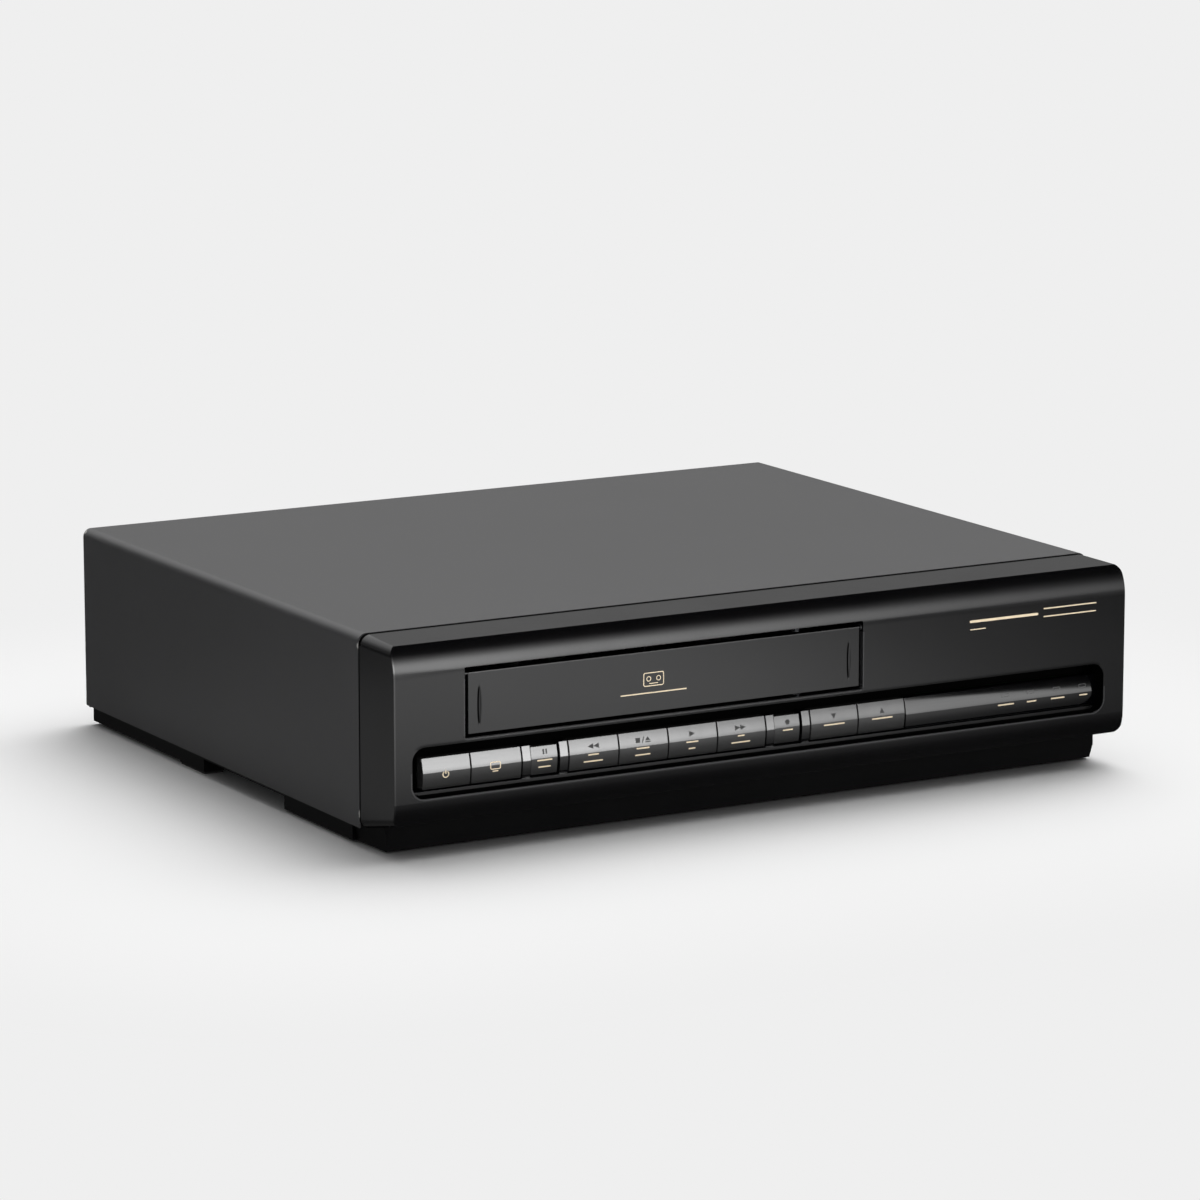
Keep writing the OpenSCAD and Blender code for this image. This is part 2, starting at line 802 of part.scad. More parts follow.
module tact_switches() {
    color("#3a3a3d") for (i = keys) {
        z = stem_z + stem_h / 2;
        x = row_mid(i);
        box([x - 3, board_y - push_h + 1.2, z - 3], [x + 3, board_y, z + 3]);
        stud(x, z, board_y - push_h, board_y - push_h + 1.3, 1.7);
    }
}

// Side view of the plinth, t inside its front
module plinth_rake_outline(t) {
    over = t > 0 ? 1 : 0;
    y0 = y_front + plinth_in + t;
    y1 = y_seam + plinth_back + over;
    polygon([[y0 + plinth_rake, skirt_z - over], [y0, z_chin - 1], [y0, z_chin + 9 + over],
        [y1, z_chin + 9 + over], [y1, skirt_z - over]]);
}

module plinth_plan(t) {
    back = y_seam + plinth_back + (t > 0 ? 1 : 0);
    x0 = base_w / 2 - t;
    x1 = x0 - plinth_taper;
    y0 = y_front + plinth_in + t;
    r = max(plinth_r - t, 1);
    union() {
        polygon([[-x0, back], [-x1, y_seam - plinth_back], [-x1, y0 + r],
            [-x1 + r, y0], [x1 - r, y0], [x1, y0 + r], [x1, y_seam - plinth_back],
            [x0, back]]);
        for (s = [-1, 1]) translate([s * (x1 - r), y0 + r]) circle(r);
    }
}

// The room below the panel's sloping underside
module under_panel(clear) {
    drop = clear / cos(under_slope);
    along_x(-big / 2, big / 2) polygon([[y_front - 5, 0], [y_seam + plinth_back + 5, 0],
        [y_seam + plinth_back + 5, edge_z - clear], [y_seam, edge_z - drop],
        [y_front - 5, edge_z - drop + (panel_d + 5) * tan(under_slope)]]);
}

// What is cut from a plinth end, so that the end leans inwards towards the floor
module plinth_end() {
    turn = atan(plinth_taper / (2 * plinth_back));
    translate([base_w / 2, y_seam + plinth_back, z_chin]) rotate([0, 0, -turn])
        rotate([0, plinth_lean, 0]) box([0, -big / 2, -big / 2], [big, big / 2, big / 2]);
}

module front_plinth() {
    hollow_x = base_w / 2 - plinth_taper - base_wall - (z_chin - skirt_z) * tan(plinth_lean);
    color(black) difference() {
        intersection() {
            translate([0, 0, skirt_z]) linear_extrude(z_chin) plinth_plan(0);
            along_x(-big / 2, big / 2) plinth_rake_outline(0);
            under_panel(gap);
        }
        intersection() {
            linear_extrude(z_chin + skirt_z + 5) plinth_plan(base_wall);
            along_x(-hollow_x, hollow_x) plinth_rake_outline(base_wall);
        }
        for (s = [0, 1]) mirror([s, 0, 0]) plinth_end();
    }
}

foot_y = y_seam;
base_y1 = y_rear - rear_t - gap;
base_rim = 24;

module base_side() {
    y0 = y_seam + plinth_back + gap;
    y1 = y_seam + front_skirt_d;
    polygon([[y0, skirt_z], [y1, skirt_z], [y1, floor_z], [y_seam + block_in, floor_z],
        [y_seam + block_in, skirt_z], [y_seam + block_in + block_d, skirt_z],
        [y_seam + block_in + block_d, rear_skirt_z], [base_y1, rear_skirt_z],
        [base_y1, base_rim], [y0, base_rim]]);
}

deck_posts = [for (x = [-1, 1], y = [8, deck_d - 8]) [deck_x + x * (deck_w / 2 - 7), deck_y + y]];
main_posts = [for (x = [main_x0 + 6, main_x1 - 6], y = [main_y0 + 8, main_y1 - 8]) [x, y]];
power_posts = [for (x = [power_x0 + 6, power_x1 - 6], y = [power_y0 + 6, power_y1 - 6]) [x, y]];

rib_w = 10;
rib_y = [deck_posts[1][1], main_posts[1][1], power_posts[0][1], power_posts[1][1]];

module base_frame() {
    x = base_w / 2;
    y1 = y_seam + front_skirt_d;
    tongue_y = y_front + plinth_in + plinth_rake + base_wall + gap + 1;
    inner = base_w / 2 - plinth_taper - base_wall - plinth_r;
    hole_x = bottom_w / 2 - 12;
    color(black) difference() {
        union() {
            difference() {
                box([-x, y_seam + plinth_back + gap, floor_z], [x, base_y1, floor_top]);
                box([-hole_x, y1 + 12, floor_z - 1], [hole_x, base_y1 - 12, floor_top + 1]);
            }
            for (y = rib_y) box([-hole_x - 1, y - rib_w / 2, floor_z],
                [hole_x + 1, y + rib_w / 2, floor_top]);
            box([-inner, tongue_y, floor_z - 1], [inner, y_seam + plinth_back + 1, floor_top - 1]);
            for (s = [0, 1]) mirror([s, 0, 0]) {
                along_x(x - base_wall, x) base_side();
                box([x - block_w, y_seam + block_in, skirt_z],
                    [x, y_seam + block_in + block_d, floor_z + 1]);
                rod([foot_x, foot_y], skirt_z, floor_z, foot_r + 1.5);
            }
            box([-x, y1 - base_wall, skirt_z], [x, y1, floor_z + 1]);
            box([-x, base_y1 - base_wall, rear_skirt_z], [x, base_y1, floor_z + 1]);
            for (p = deck_posts) rod(p, floor_top - 1, deck_low, post_r);
            for (p = concat(main_posts, power_posts)) rod(p, floor_top - 1, board_z, post_r);
        }
        for (p = deck_posts) rod(p, deck_low - 9, deck_low + 1, pilot_r);
        for (p = concat(main_posts, power_posts)) rod(p, board_z - 7, board_z + 1, pilot_r);
    }
}

module bottom_plate() {
    y0 = y_seam + front_skirt_d + 2;
    y1 = base_y1 - base_wall - 2;
    pitch = (bottom_w - 80) / slots;
    color(steel) difference() {
        box([-bottom_w / 2, y0, floor_z - bottom_t], [bottom_w / 2, y1, floor_z]);
        for (i = [0:slots - 1], k = [1, 3]) translate([-bottom_w / 2 + 40 + pitch * (i + 0.5),
            y0 + (y1 - y0) * k / 4 - slot_l / 2, 0]) linear_extrude(floor_z + 1)
            rotate(90) slot2d(slot_l, 1.5);
    }
}

module rubber_feet() {
    x = base_w / 2 - block_w / 2;
    color(dark) for (s = [-1, 1]) {
        rod([s * foot_x, foot_y], 0, skirt_z, foot_r);
        box([s * x - block_w / 2 + 0.5, y_seam + block_in + 0.5, 0],
            [s * x + block_w / 2 - 0.5, y_seam + block_in + block_d - 0.5, skirt_z]);
    }
}

rf_x = [modulator_x - rf_pitch / 2, modulator_x + rf_pitch / 2];
phono_xs = [for (i = [0:3]) phono_x + (i - 1.5) * phono_pitch];

module rear_panel() {
    x = cover_w / 2 - cover_t - 2 * gap;
    y0 = y_rear - rear_t;
    color(dark) difference() {
        union() {
            along_y(y0, y_rear) intersection() {
                cover_outline(cover_t + gap);
                translate([-big / 2, edge_z - 4]) square(big);
            }
            box([-x + 8, y0 - 8, floor_top], [x - 8, y_rear, floor_top + rear_t]);
        }
        for (rx = rf_x) stud(rx, rf_z, y0 - 1, y_rear + 1, rf_r + gap);
        for (px = phono_xs)
            stud(px, phono_z, y0 - 1, y_rear + 1, phono_r + collar_t + gap);
        box([switch_x - 4, y0 - 1, switch_z - 3],
            [switch_x + 4 + switch_travel, y_rear + 1, switch_z + 3]);
        stud(gland_x, gland_z, y0 - 1, y_rear + 1, gland_r + gland_wall + fit);
        cover_screw_places() stud(0, 0, y0 - 1, y_rear + 1, shank_r + gap);
        for (i = [0:vents - 1]) translate([power_x0 + 60 + 3 * vent_w * i, 0, z_top - 18 - vent_h])
            box([0, y0 - 1, 0], [vent_w, y_rear + 1, vent_h]);
    }
}

module cord_gland() {
    y0 = y_rear - rear_t;
    color(dark) difference() {
        union() {
            stud(gland_x, gland_z, y0 - 3, y_rear + 3, gland_r + gland_wall);
            stud(gland_x, gland_z, y_rear, y_rear + gland_rim, gland_r + gland_wall + gland_rim);
            stud(gland_x, gland_z, y0 - 3, y0, gland_r + gland_wall + 1.2);
        }
        stud(gland_x, gland_z, y_front, y_end, gland_r);
    }
}

module main_board() {
    color(board_green) difference() {
        box([main_x0, main_y0, board_z], [main_x1, main_y1, board_top]);
        for (p = main_posts) rod(p, board_z - 1, board_top + 1, hole_r);
    }
}

module power_board() {
    color(board_green) difference() {
        box([power_x0, power_y0, board_z], [power_x1, power_y1, board_top]);
        for (p = power_posts) rod(p, board_z - 1, board_top + 1, hole_r);
    }
}

// Capacitors and chips on the two boards
module board_parts() {
    small_can_pitch = [16, 24];
    chip = [14, 26, 4];
    chip_pitch = 36;
    chip_in = 62;
    large_can_in = 60;
    large_can_pitch = 26;
    diode = [6, 14, 8];
    diode_pitch = 9;
    color("#2b2b2e") {
        for (i = [0:2], k = [0:3])
            rod([main_x0 + small_can_pitch[0] * (i + 1), main_y0 + 26 + small_can_pitch[1] * k],
                board_top, board_top + 12 + 3 * i, 4.5);
        for (k = [0:2]) translate([main_x0 + chip_in, main_y0 + 20 + chip_pitch * k, board_top])
            cube(chip);
        for (i = [0:1])
            rod([power_x1 - large_can_in - large_can_pitch * i, power_y0 + large_can_in - 14],
                board_top, board_top + 30, 9);
        for (i = [0:3]) translate([power_x1 - 40 + diode_pitch * i, power_y0 + 16, board_top])
            cube(diode);
        box([phono_xs[0] - phono_block_in, jack_face - phono_block_d, board_top],
            [phono_xs[3] + phono_block_in, jack_face, phono_z + 8]);
    }
}

// A laminated core round one coil
module transformer() {
    low = board_top + core_yoke;
    high = board_top + transformer_h - core_yoke;
    window = core_w / 2 - core_limb - core_limb / 2;
    translate(transformer_at) {
        color("#6d6a66") difference() {
            box([-core_w / 2, -core_d / 2, board_top],
                [core_w / 2, core_d / 2, board_top + transformer_h]);
            for (s = [0, 1]) mirror([s, 0, 0]) box([core_limb / 2, -core_d, low],
                [core_limb / 2 + window, core_d, high]);
        }
        color("#b9a46a") difference() {
            box([-core_limb / 2 - window + gap, -coil_d / 2, low + gap],
                [core_limb / 2 + window - gap, coil_d / 2, high - gap]);
            box([-core_limb / 2 - gap, -core_d / 2 - gap, low - 1],
                [core_limb / 2 + gap, core_d / 2 + gap, high + 1]);
        }
    }
}

module heat_sink() {
    color(steel) translate([sink_at[0], sink_at[1], board_top]) union() {
        cube([sink_t, sink_l, sink_h]);
        for (i = [0:fins - 1]) translate([0, i * (sink_l - fin_t) / (fins - 1), 0])
            cube([sink_d, fin_t, sink_h]);
    }
}

module tuner_can() {
    color(steel) translate([main_x1 - tuner_in - tuner_w, main_y0 + tuner_back, board_top]) difference() {
        cube([tuner_w, tuner_l, tuner_h]);
        for (k = [0:3]) translate([10, 12 + 15 * k, tuner_h - 1]) cylinder(r = 2, h = 2);
    }
}

module rf_modulator() {
    color(steel) difference() {
        box([modulator_x - modulator_w / 2, jack_face - modulator_d, board_top],
            [modulator_x + modulator_w / 2, jack_face, board_top + modulator_h]);
        for (k = [-1, 1]) rod([modulator_x + 14 * k, jack_face - modulator_d / 2],
            board_top + modulator_h - 1, board_top + modulator_h + 1, 2);
        box([switch_x - 6 - gap, jack_face - 2 - gap, switch_z - 4 - gap],
            [switch_x + 6 + gap + switch_travel, jack_face + 1, switch_z + 4 + gap]);
    }
}

module rf_connectors() {
    color("#c9c3a6") for (x = rf_x) difference() {
        union() {
            stud(x, rf_z, jack_face, y_end, rf_r);
            stud(x, rf_z, jack_face, y_rear - rear_t - gap, rf_r + 2);
            stud(x, rf_z, jack_face, y_rear + collar_h, rf_r + collar_t);
        }
        stud(x, rf_z, y_end - 6, y_end + 1, 0.6);
        stud(x, rf_z, y_end - 1, y_end + 1, 3);
    }
}

module phono_jacks() {
    color("#c9c3a6") for (x = phono_xs) difference() {
        union() {
            stud(x, phono_z, jack_face, y_end, phono_r);
            stud(x, phono_z, jack_face, y_rear + collar_h, phono_r + collar_t);
        }
        stud(x, phono_z, y_end - tip_hole, y_end + 1, phono_hole_r);
    }
}

module channel_switch() {
    color(dark) union() {
        box([switch_x - 3, jack_face - 2, switch_z - 2], [switch_x + 3, y_back + 1, switch_z + 2]);
        box([switch_x - 6, jack_face - 2, switch_z - 4], [switch_x + 6, jack_face, switch_z + 4]);
    }
}

// The frame of a tape guide's track, X along it and zero at the guide's place of rest
module guide_frame(s) {
    translate([deck_x + s * guide_start[0], drum_y + guide_start[1], 0])
        rotate(90 - s * guide_turn) children();
}

module deck_plate() {
    color("#b4b6b8") difference() {
        union() {
            box([deck_x - deck_w / 2, deck_y, deck_low],
                [deck_x + deck_w / 2, deck_y + deck_d, deck_z]);
            for (s = [-1, 1]) {
                rod([deck_x + s * reel_pitch / 2, reel_y], deck_z - 1, deck_z + 19, reel_post_r);
                for (y = [6, 86]) rod([deck_x + s * 58, deck_y + y], deck_z - 1,
                    shelf_z + plate_t - holder_drop, 2.5);
            }
            rod([deck_x, idler_y], deck_low - 6.5, deck_z + 7, pivot_r);
            rod(pinch_pivot, deck_z - 1, deck_z + 28, pivot_r);
            rod(cam_at, deck_z - 1, cam_z + cam_t + 1, pivot_r);
            rod(cam_at, deck_z - 1, cam_z - gap, pivot_r + 2.5);
            rod(tension_at, deck_z - 1, deck_z + 8, pivot_r);
        }
        rod(capstan_at, deck_low - 1, deck_z + 1, 5.1);
        for (s = [-1, 1]) translate([0, 0, deck_low - 1]) guide_frame(s)
            linear_extrude(deck_t + 2) slot2d(guide_travel, 2.2);
        for (p = deck_posts) rod(p, deck_low - 1, deck_z + 1, hole_r);
    }
}

module carriage_brackets() {
    y0 = y_seam + 1.5;
    color(steel) for (s = [0, 1]) translate([deck_x, 0, 0]) mirror([s, 0, 0]) difference() {
        union() {
            along_x(rail_in, rail_in + rail_t) polygon([[y0, deck_z], [y0, deck_z + rail_h],
                [y_seam + rail_d, deck_z + rail_h], [y_seam + rail_d, deck_z]]);
            box([rail_in, y0, deck_z], [rail_in + rail_foot, y_seam + rail_d, deck_z + rail_t]);
        }
        along_x(rail_in - 1, rail_in + rail_t + 1) translate([y_seam + sled_pins[0], slot_z])
            slot2d(sled_pins[1] - sled_pins[0] + sled_travel, sled_pin_r + 0.1);
        for (y = [20, rail_d - 20]) rod([rail_in + rail_t + 3, y_seam + y], deck_z - 1,
            deck_z + rail_t + 1, hole_r);
    }
}

module carriage_sled() {
    y1 = y_seam + sled_d;
    color("#8d9094") translate([deck_x, 0, 0]) union() {
        for (s = [0, 1]) mirror([s, 0, 0]) {
            difference() {
                box([sled_in, y_seam, deck_z + 6], [sled_out, y1, sled_top]);
                for (y = lift_pins) along_x(sled_in - 1, sled_out + 1)
                    translate([y_seam + y, lift_z - holder_drop]) rotate(90)
                    slot2d(holder_drop, lift_pin_r + 0.1);
            }
            for (y = sled_pins) axle(y_seam + y, slot_z, sled_out - eps,
                rail_in + rail_t + 0.5, sled_pin_r);
        }
        box([-sled_out, y1 - 14, sled_top - plate_t], [sled_out, y1 - 2, sled_top]);
    }
}

module cassette_holder() {
    y1 = y_seam + sled_d;
    top = shelf_z + plate_t + hold_h;
    color(steel) translate([deck_x, 0, 0]) union() {
        for (s = [0, 1]) mirror([s, 0, 0]) {
            box([holder_in, y_seam, shelf_z], [holder_out, y1, top + plate_t]);
            box([holder_out - shelf_w, y_seam, shelf_z], [holder_out, y1, shelf_z + plate_t]);
            box([holder_out - shelf_w + 1, y1 - plate_t, shelf_z],
                [holder_out, y1, shelf_z + 16]);
            for (y = lift_pins) axle(y_seam + y, lift_z, holder_out - eps, sled_out + 0.4,
                lift_pin_r);
        }
        difference() {
            box([-holder_out, y_seam + 2, top], [holder_out, y1, top + plate_t]);
            for (x = [-50, 50], d = [-7, 5]) box([x + d, y_seam + 8, top - 1],
                [x + d + 2, y1 - 8, top + plate_t + 1]);
        }
    }
}

// The drum's tilted frame
module tilted() {
    translate([deck_x, drum_y, deck_z]) rotate([0, drum_tilt, 0]) children();
}

module lower_drum() {
    color("#c4c6c8") difference() {
        union() {
            difference() {
                rod([deck_x, drum_y], deck_z, deck_z + drum_low + 4, drum_r + 2);
                tilted() translate([-big / 2, -big / 2, drum_low]) cube(big);
            }
            tilted() translate([0, 0, drum_low - eps])
                cylinder(r = drum_r, h = drum_split - drum_low);
        }
        tilted() translate([0, 0, drum_low + 1]) cylinder(r = drum_shaft_r + fit, h = big);
    }
}

module upper_drum() {
    z = drum_split + gap;
    color("#d4d6d8") tilted() difference() {
        union() {
            translate([0, 0, z]) cylinder(r = drum_r, h = drum_h);
            translate([0, 0, z + drum_h - eps]) cylinder(r = drum_r * 0.78, h = 5);
            translate([0, 0, drum_low + 1 + gap])
                cylinder(r = drum_shaft_r, h = z + drum_h + 7 - drum_low - 1 - gap);
        }
        for (a = [0, 180]) rotate(a) translate([drum_r - 3, -2, z - 1]) cube([4, 4, 4]);
        for (a = [30:60:330]) rotate(a) translate([drum_r * 0.55, 0, z + drum_h + 2])
            cylinder(r = 3, h = 5);
    }
}

module capstan() {
    color("#9fa2a6") union() {
        rod(capstan_at, pulley_z - 7.5, deck_z + 29, capstan_r);
        rod(capstan_at, pulley_z - 6.5, pulley_z, flywheel_r);
        difference() {
            rod(capstan_at, pulley_z - eps, pulley_z + 4, capstan_pulley_r);
            rod(capstan_at, pulley_z + 3, pulley_z + 5, capstan_pulley_r - 3);
        }
        rod(capstan_at, pulley_z, pulley_z + 4, capstan_r + 1.5);
    }
}

module capstan_housing() {
    color("#8a8d90") difference() {
        union() {
            rod(capstan_at, pulley_z + 4.4, deck_z + 8, 5);
            rod(capstan_at, deck_z, deck_z + 2, 11);
        }
        rod(capstan_at, 0, big, capstan_r + fit);
    }
}

module centre_pulley() {
    at = [deck_x, idler_y];
    color("#d9d6cc") difference() {
        union() {
            rod(at, pulley_z, pulley_z + 4, centre_pulley_r);
            rod(at, pulley_z, pulley_z + 4.8, 4);
        }
        rod(at, pulley_z - 1, pulley_z + 6, pivot_r + fit);
    }
}

module belt_loop(t) {
    hull() {
        translate(capstan_at) circle(capstan_pulley_r + t);
        translate([deck_x, idler_y]) circle(centre_pulley_r + t);
    }
}

module reel_belt() {
    color(dark) translate([0, 0, belt_low]) linear_extrude(belt_h) difference() {
        belt_loop(gap + 1.2);
        belt_loop(gap);
    }
}

module reel(s) {
    at = [deck_x + s * reel_pitch / 2, reel_y];
    z = deck_z + 0.5;
    difference() {
        union() {
            rod(at, z, z + 3, reel_r);
            rod(at, z, z + 6.8, 14);
            rod(at, z, z + 20.5, 8);
            for (a = [0, 120, 240]) translate([at[0], at[1], z]) rotate(a)
                translate([0, -1, 0]) cube([9.6, 2, 18]);
        }
        rod(at, z - 1, deck_z + 19 + gap, reel_post_r + fit);
    }
}

module supply_reel() {
    color(dark) reel(-1);
}

module take_up_reel() {
    color(dark) reel(1);
}

module idler_arm() {
    color(steel) difference() {
        union() {
            rod([deck_x, idler_y], deck_z + 0.5, deck_z + 6, 4.5);
            box([deck_x - 4, idler_y - idler_arm_l, deck_z + 4.5], [deck_x + 4, idler_y, deck_z + 6]);
            rod([deck_x, idler_y - idler_arm_l], deck_z + 0.6, deck_z + 6, 1.2);
        }
        rod([deck_x, idler_y], deck_z, deck_z + 7, pivot_r + fit);
    }
}

module idler_wheel() {
    at = [deck_x, idler_y - idler_arm_l];
    color(dark) difference() {
        rod(at, deck_z + 0.9, deck_z + 4.1, idler_r);
        rod(at, deck_z, deck_z + 5, 1.2 + fit);
        for (a = [0:60:300]) translate([at[0], at[1], deck_z]) rotate(a) translate([5.2, 0, 0])
            cylinder(r = 1.5, h = 6);
    }
}

// Bar of width w from a to b, with round ends
module link(a, b, w) {
    translate(a) rotate(atan2(b[1] - a[1], b[0] - a[0])) slot2d(norm(b - a), w / 2);
}

module pinch_arm() {
    z = deck_z;
    color(steel) difference() {
        union() {
            rod(pinch_pivot, z + 1, z + 27, 4.5);
            for (h = [8.6, 25.5]) translate([0, 0, z + h]) linear_extrude(1.5)
                link(pinch_pivot, pinch_at, 7);
            rod(pinch_at, z + 8.6, z + 27, 1.5);
        }
        rod(pinch_pivot, z, z + 28, pivot_r + fit);
    }
}

module pinch_roller() {
    color(dark) difference() {
        rod(pinch_at, deck_z + 10.6, deck_z + 25, pinch_r);
        rod(pinch_at, deck_z, deck_z + 28, 1.5 + fit);
    }
}

module tape_guide(s) {
    translate([0, 0, deck_z]) guide_frame(s) union() {
        translate([-7, -6, gap]) cube([14, 12, 4]);
        translate([0, 0, -deck_t - 1]) cylinder(r = 2, h = deck_t + 3);
        translate([0, 0, -deck_t - 1.6]) cylinder(r = 3.6, h = 1);
        translate([3, 0, 4]) cylinder(r = 2.6, h = 6);
        translate([3, 0, 4]) cylinder(r = 2, h = 24);
        translate([3, 0, 26.5]) cylinder(r = 3, h = 2.5);
        translate([-3.5, 0, 4]) rotate([8 * s, 0, 0]) cylinder(r = 1.4, h = 22);
    }
}

module entry_guide() {
    color(steel) tape_guide(-1);
}

module exit_guide() {
    color(steel) tape_guide(1);
}

module cam_gear() {
    color("#e4e0d4") difference() {
        union() {
            rod(cam_at, cam_z, cam_z + cam_t, cam_r - 2);
            for (i = [0:cam_teeth - 1]) translate([cam_at[0], cam_at[1], cam_z])
                rotate(360 * i / cam_teeth) translate([cam_r - 3, -0.8, 0]) cube([3, 1.6, cam_t]);
        }
        rod(cam_at, cam_z - 1, cam_z + cam_t + 1, pivot_r + fit);
        for (a = [0:90:270]) translate([cam_at[0], cam_at[1], cam_z + cam_t - 2]) rotate(a + 20)
            translate([9, 0, 0]) cylinder(r = 2.6, h = 3);
    }
}

module loading_motor() {
    y = cam_at[1] + cam_r + gap + 8;
    z = deck_z + 9;
    color(steel) union() {
        box([cam_at[0] - 11, cam_at[1] + cam_r + gap, deck_z],
            [cam_at[0] + 15, y + 9, deck_z + 18]);
        axle(y, z, cam_at[0] + 15 - eps, cam_at[0] + 43, 8.7);
        axle(y, z, cam_at[0] + 43 - eps, cam_at[0] + 45, 3);
    }
}

module erase_head() {
    translate([deck_x - 58, drum_y - 14, deck_z]) color(steel) union() {
        cylinder(r = 3, h = 8);
        box([-4, -4, 8], [4, 4, head_h]);
    }
}

module audio_head() {
    translate([deck_x + 60, drum_y - 10, deck_z]) color("#c9ccce") union() {
        cylinder(r = 3, h = 7);
        box([-7, -5, 6], [7, 5, 8]);
        translate([0, 0, 7]) cylinder(r = 4.6, h = head_h - 7);
        box([-4.6, 0, 8], [4.6, 5, head_h]);
    }
}

module tension_arm() {
    tip = tension_at + [tension_l, 0];
    color(steel) difference() {
        union() {
            rod(tension_at, deck_z + 0.5, deck_z + 7, 4);
            translate([0, 0, deck_z + 5]) linear_extrude(1.5) link(tension_at, tip, 5);
            rod(tip, deck_z + 5, deck_z + 29, 1.5);
        }
        rod(tension_at, deck_z, deck_z + 9, pivot_r + fit);
    }
}

// The screened amplifier beside the drum, with slots in its lid
module head_amp_can() {
    can = [40, 40, 16];
    side = 56;
    back = 10;
    color(steel) translate([deck_x + side, drum_y + back, deck_z]) difference() {
        cube(can);
        for (i = [0:5]) translate([6 + 5 * i, 6, can[2] - 1]) cube([2, can[1] - 12, 2]);
    }
}

top_cover();
front_panel();
front_plinth();
base_frame();
bottom_plate();
rear_panel();
cover_screws();
rubber_feet();
cord_gland();
indicator_window();
indicator_lamps();
remote_sensor();
front_board();
tact_switches();
main_board();
board_parts();
power_board();
transformer();
heat_sink();
tuner_can();
rf_modulator();
rf_connectors();
phono_jacks();
head_amp_can();
deck_plate();
carriage_brackets();
lower_drum();
capstan_housing();
erase_head();
audio_head();
loading_motor();
reel_belt();
cassette_door();
door_spring();
key(0);  // power_button
key(1);  // source_button
key(3);  // pause_button
key(5);  // rewind_button
key(6);  // stop_button
key(7);  // play_button
key(8);  // forward_button
key(10);  // record_button
key(12);  // channel_down_button
key(13);  // channel_up_button
channel_switch();
carriage_sled();
cassette_holder();
upper_drum();
capstan();
supply_reel();
take_up_reel();
idler_arm();
idler_wheel();
pinch_arm();
pinch_roller();
entry_guide();
exit_guide();
cam_gear();
tension_arm();
centre_pulley();
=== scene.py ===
# Looks of a front-loading video cassette recorder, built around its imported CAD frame
import math

import bmesh
import bpy
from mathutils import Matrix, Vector


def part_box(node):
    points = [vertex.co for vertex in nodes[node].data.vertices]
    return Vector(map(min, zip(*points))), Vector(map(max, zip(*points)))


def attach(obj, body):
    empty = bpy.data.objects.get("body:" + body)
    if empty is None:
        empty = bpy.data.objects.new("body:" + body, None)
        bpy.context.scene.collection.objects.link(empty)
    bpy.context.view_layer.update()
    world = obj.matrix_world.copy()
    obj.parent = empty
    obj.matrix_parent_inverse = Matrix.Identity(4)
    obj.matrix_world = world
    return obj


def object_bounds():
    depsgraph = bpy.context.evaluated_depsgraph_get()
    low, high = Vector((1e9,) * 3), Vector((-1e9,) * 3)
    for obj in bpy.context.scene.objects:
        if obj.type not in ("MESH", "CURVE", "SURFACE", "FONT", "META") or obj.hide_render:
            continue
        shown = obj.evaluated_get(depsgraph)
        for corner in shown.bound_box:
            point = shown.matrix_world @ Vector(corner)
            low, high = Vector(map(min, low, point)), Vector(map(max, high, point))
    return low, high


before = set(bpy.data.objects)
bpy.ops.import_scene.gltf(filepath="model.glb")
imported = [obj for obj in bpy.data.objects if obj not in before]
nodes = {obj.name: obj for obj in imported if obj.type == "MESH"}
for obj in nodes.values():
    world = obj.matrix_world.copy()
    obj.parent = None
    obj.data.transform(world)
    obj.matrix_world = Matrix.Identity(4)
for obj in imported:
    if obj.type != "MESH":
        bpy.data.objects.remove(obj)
cad_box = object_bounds()

MM = 0.001
scene = bpy.context.scene

# places on the front in mm: low corner, high corner and corner radius of the two openings
KEY_ROW = (-204.8, 30.5), (202.1, 56.4), 7.0
MOUTH = (-175.7, 58.1), (53.2, 93.2), 1.5
# the left edges of the posts between the keys, and a post's width
POSTS, POST_W = (-141.1, -120.1, -0.7, 20.3), 5.4
# the finger dimples' cores in the door, from left edge to right edge
DIMPLES = (-168.7, -167.2), (43.8, 45.3)
# where the cover's paint is chipped, and how far each chip reaches
CHIPS = (((-215.0, -147.5, 101.5), 1.5), ((-215.0, -148.0, 17.5), 1.7),
         ((-214.0, 176.0, 106.0), 1.2), ((214.0, -147.5, 105.5), 1.1))
# the sockets of a mix node for colours: mask, two colours and result
MASK, FIRST, SECOND, MIXED = 0, 6, 7, 2


# materials

def linear(colour):
    """An sRGB hex colour as linear red, green, blue and alpha."""
    parts = [int(colour[i:i + 2], 16) / 255 for i in (1, 3, 5)]
    return [c / 12.92 if c <= 0.04045 else ((c + 0.055) / 1.055) ** 2.4 for c in parts] + [1.0]


def add(tree, kind, sockets=None, **settings):
    """Adds a node. A socket takes a number, a colour, an output, or a node for its first output."""
    node = tree.nodes.new(kind)
    for name, value in settings.items():
        setattr(node, name, value)
    for name, value in (sockets or {}).items():
        if isinstance(value, bpy.types.Node):
            value = value.outputs[0]
        if isinstance(value, bpy.types.NodeSocket):
            tree.links.new(value, node.inputs[name])
        else:
            node.inputs[name].default_value = value
    return node


def new_material(name):
    """A material with an empty tree, its shader and the position on the object in metres."""
    material = bpy.data.materials.new(name)
    material.use_nodes = True
    tree = material.node_tree
    tree.nodes.clear()
    shader = add(tree, "ShaderNodeBsdfPrincipled")
    add(tree, "ShaderNodeOutputMaterial", {"Surface": shader})
    where = add(tree, "ShaderNodeTexCoord").outputs["Object"]
    return material, tree, shader, where


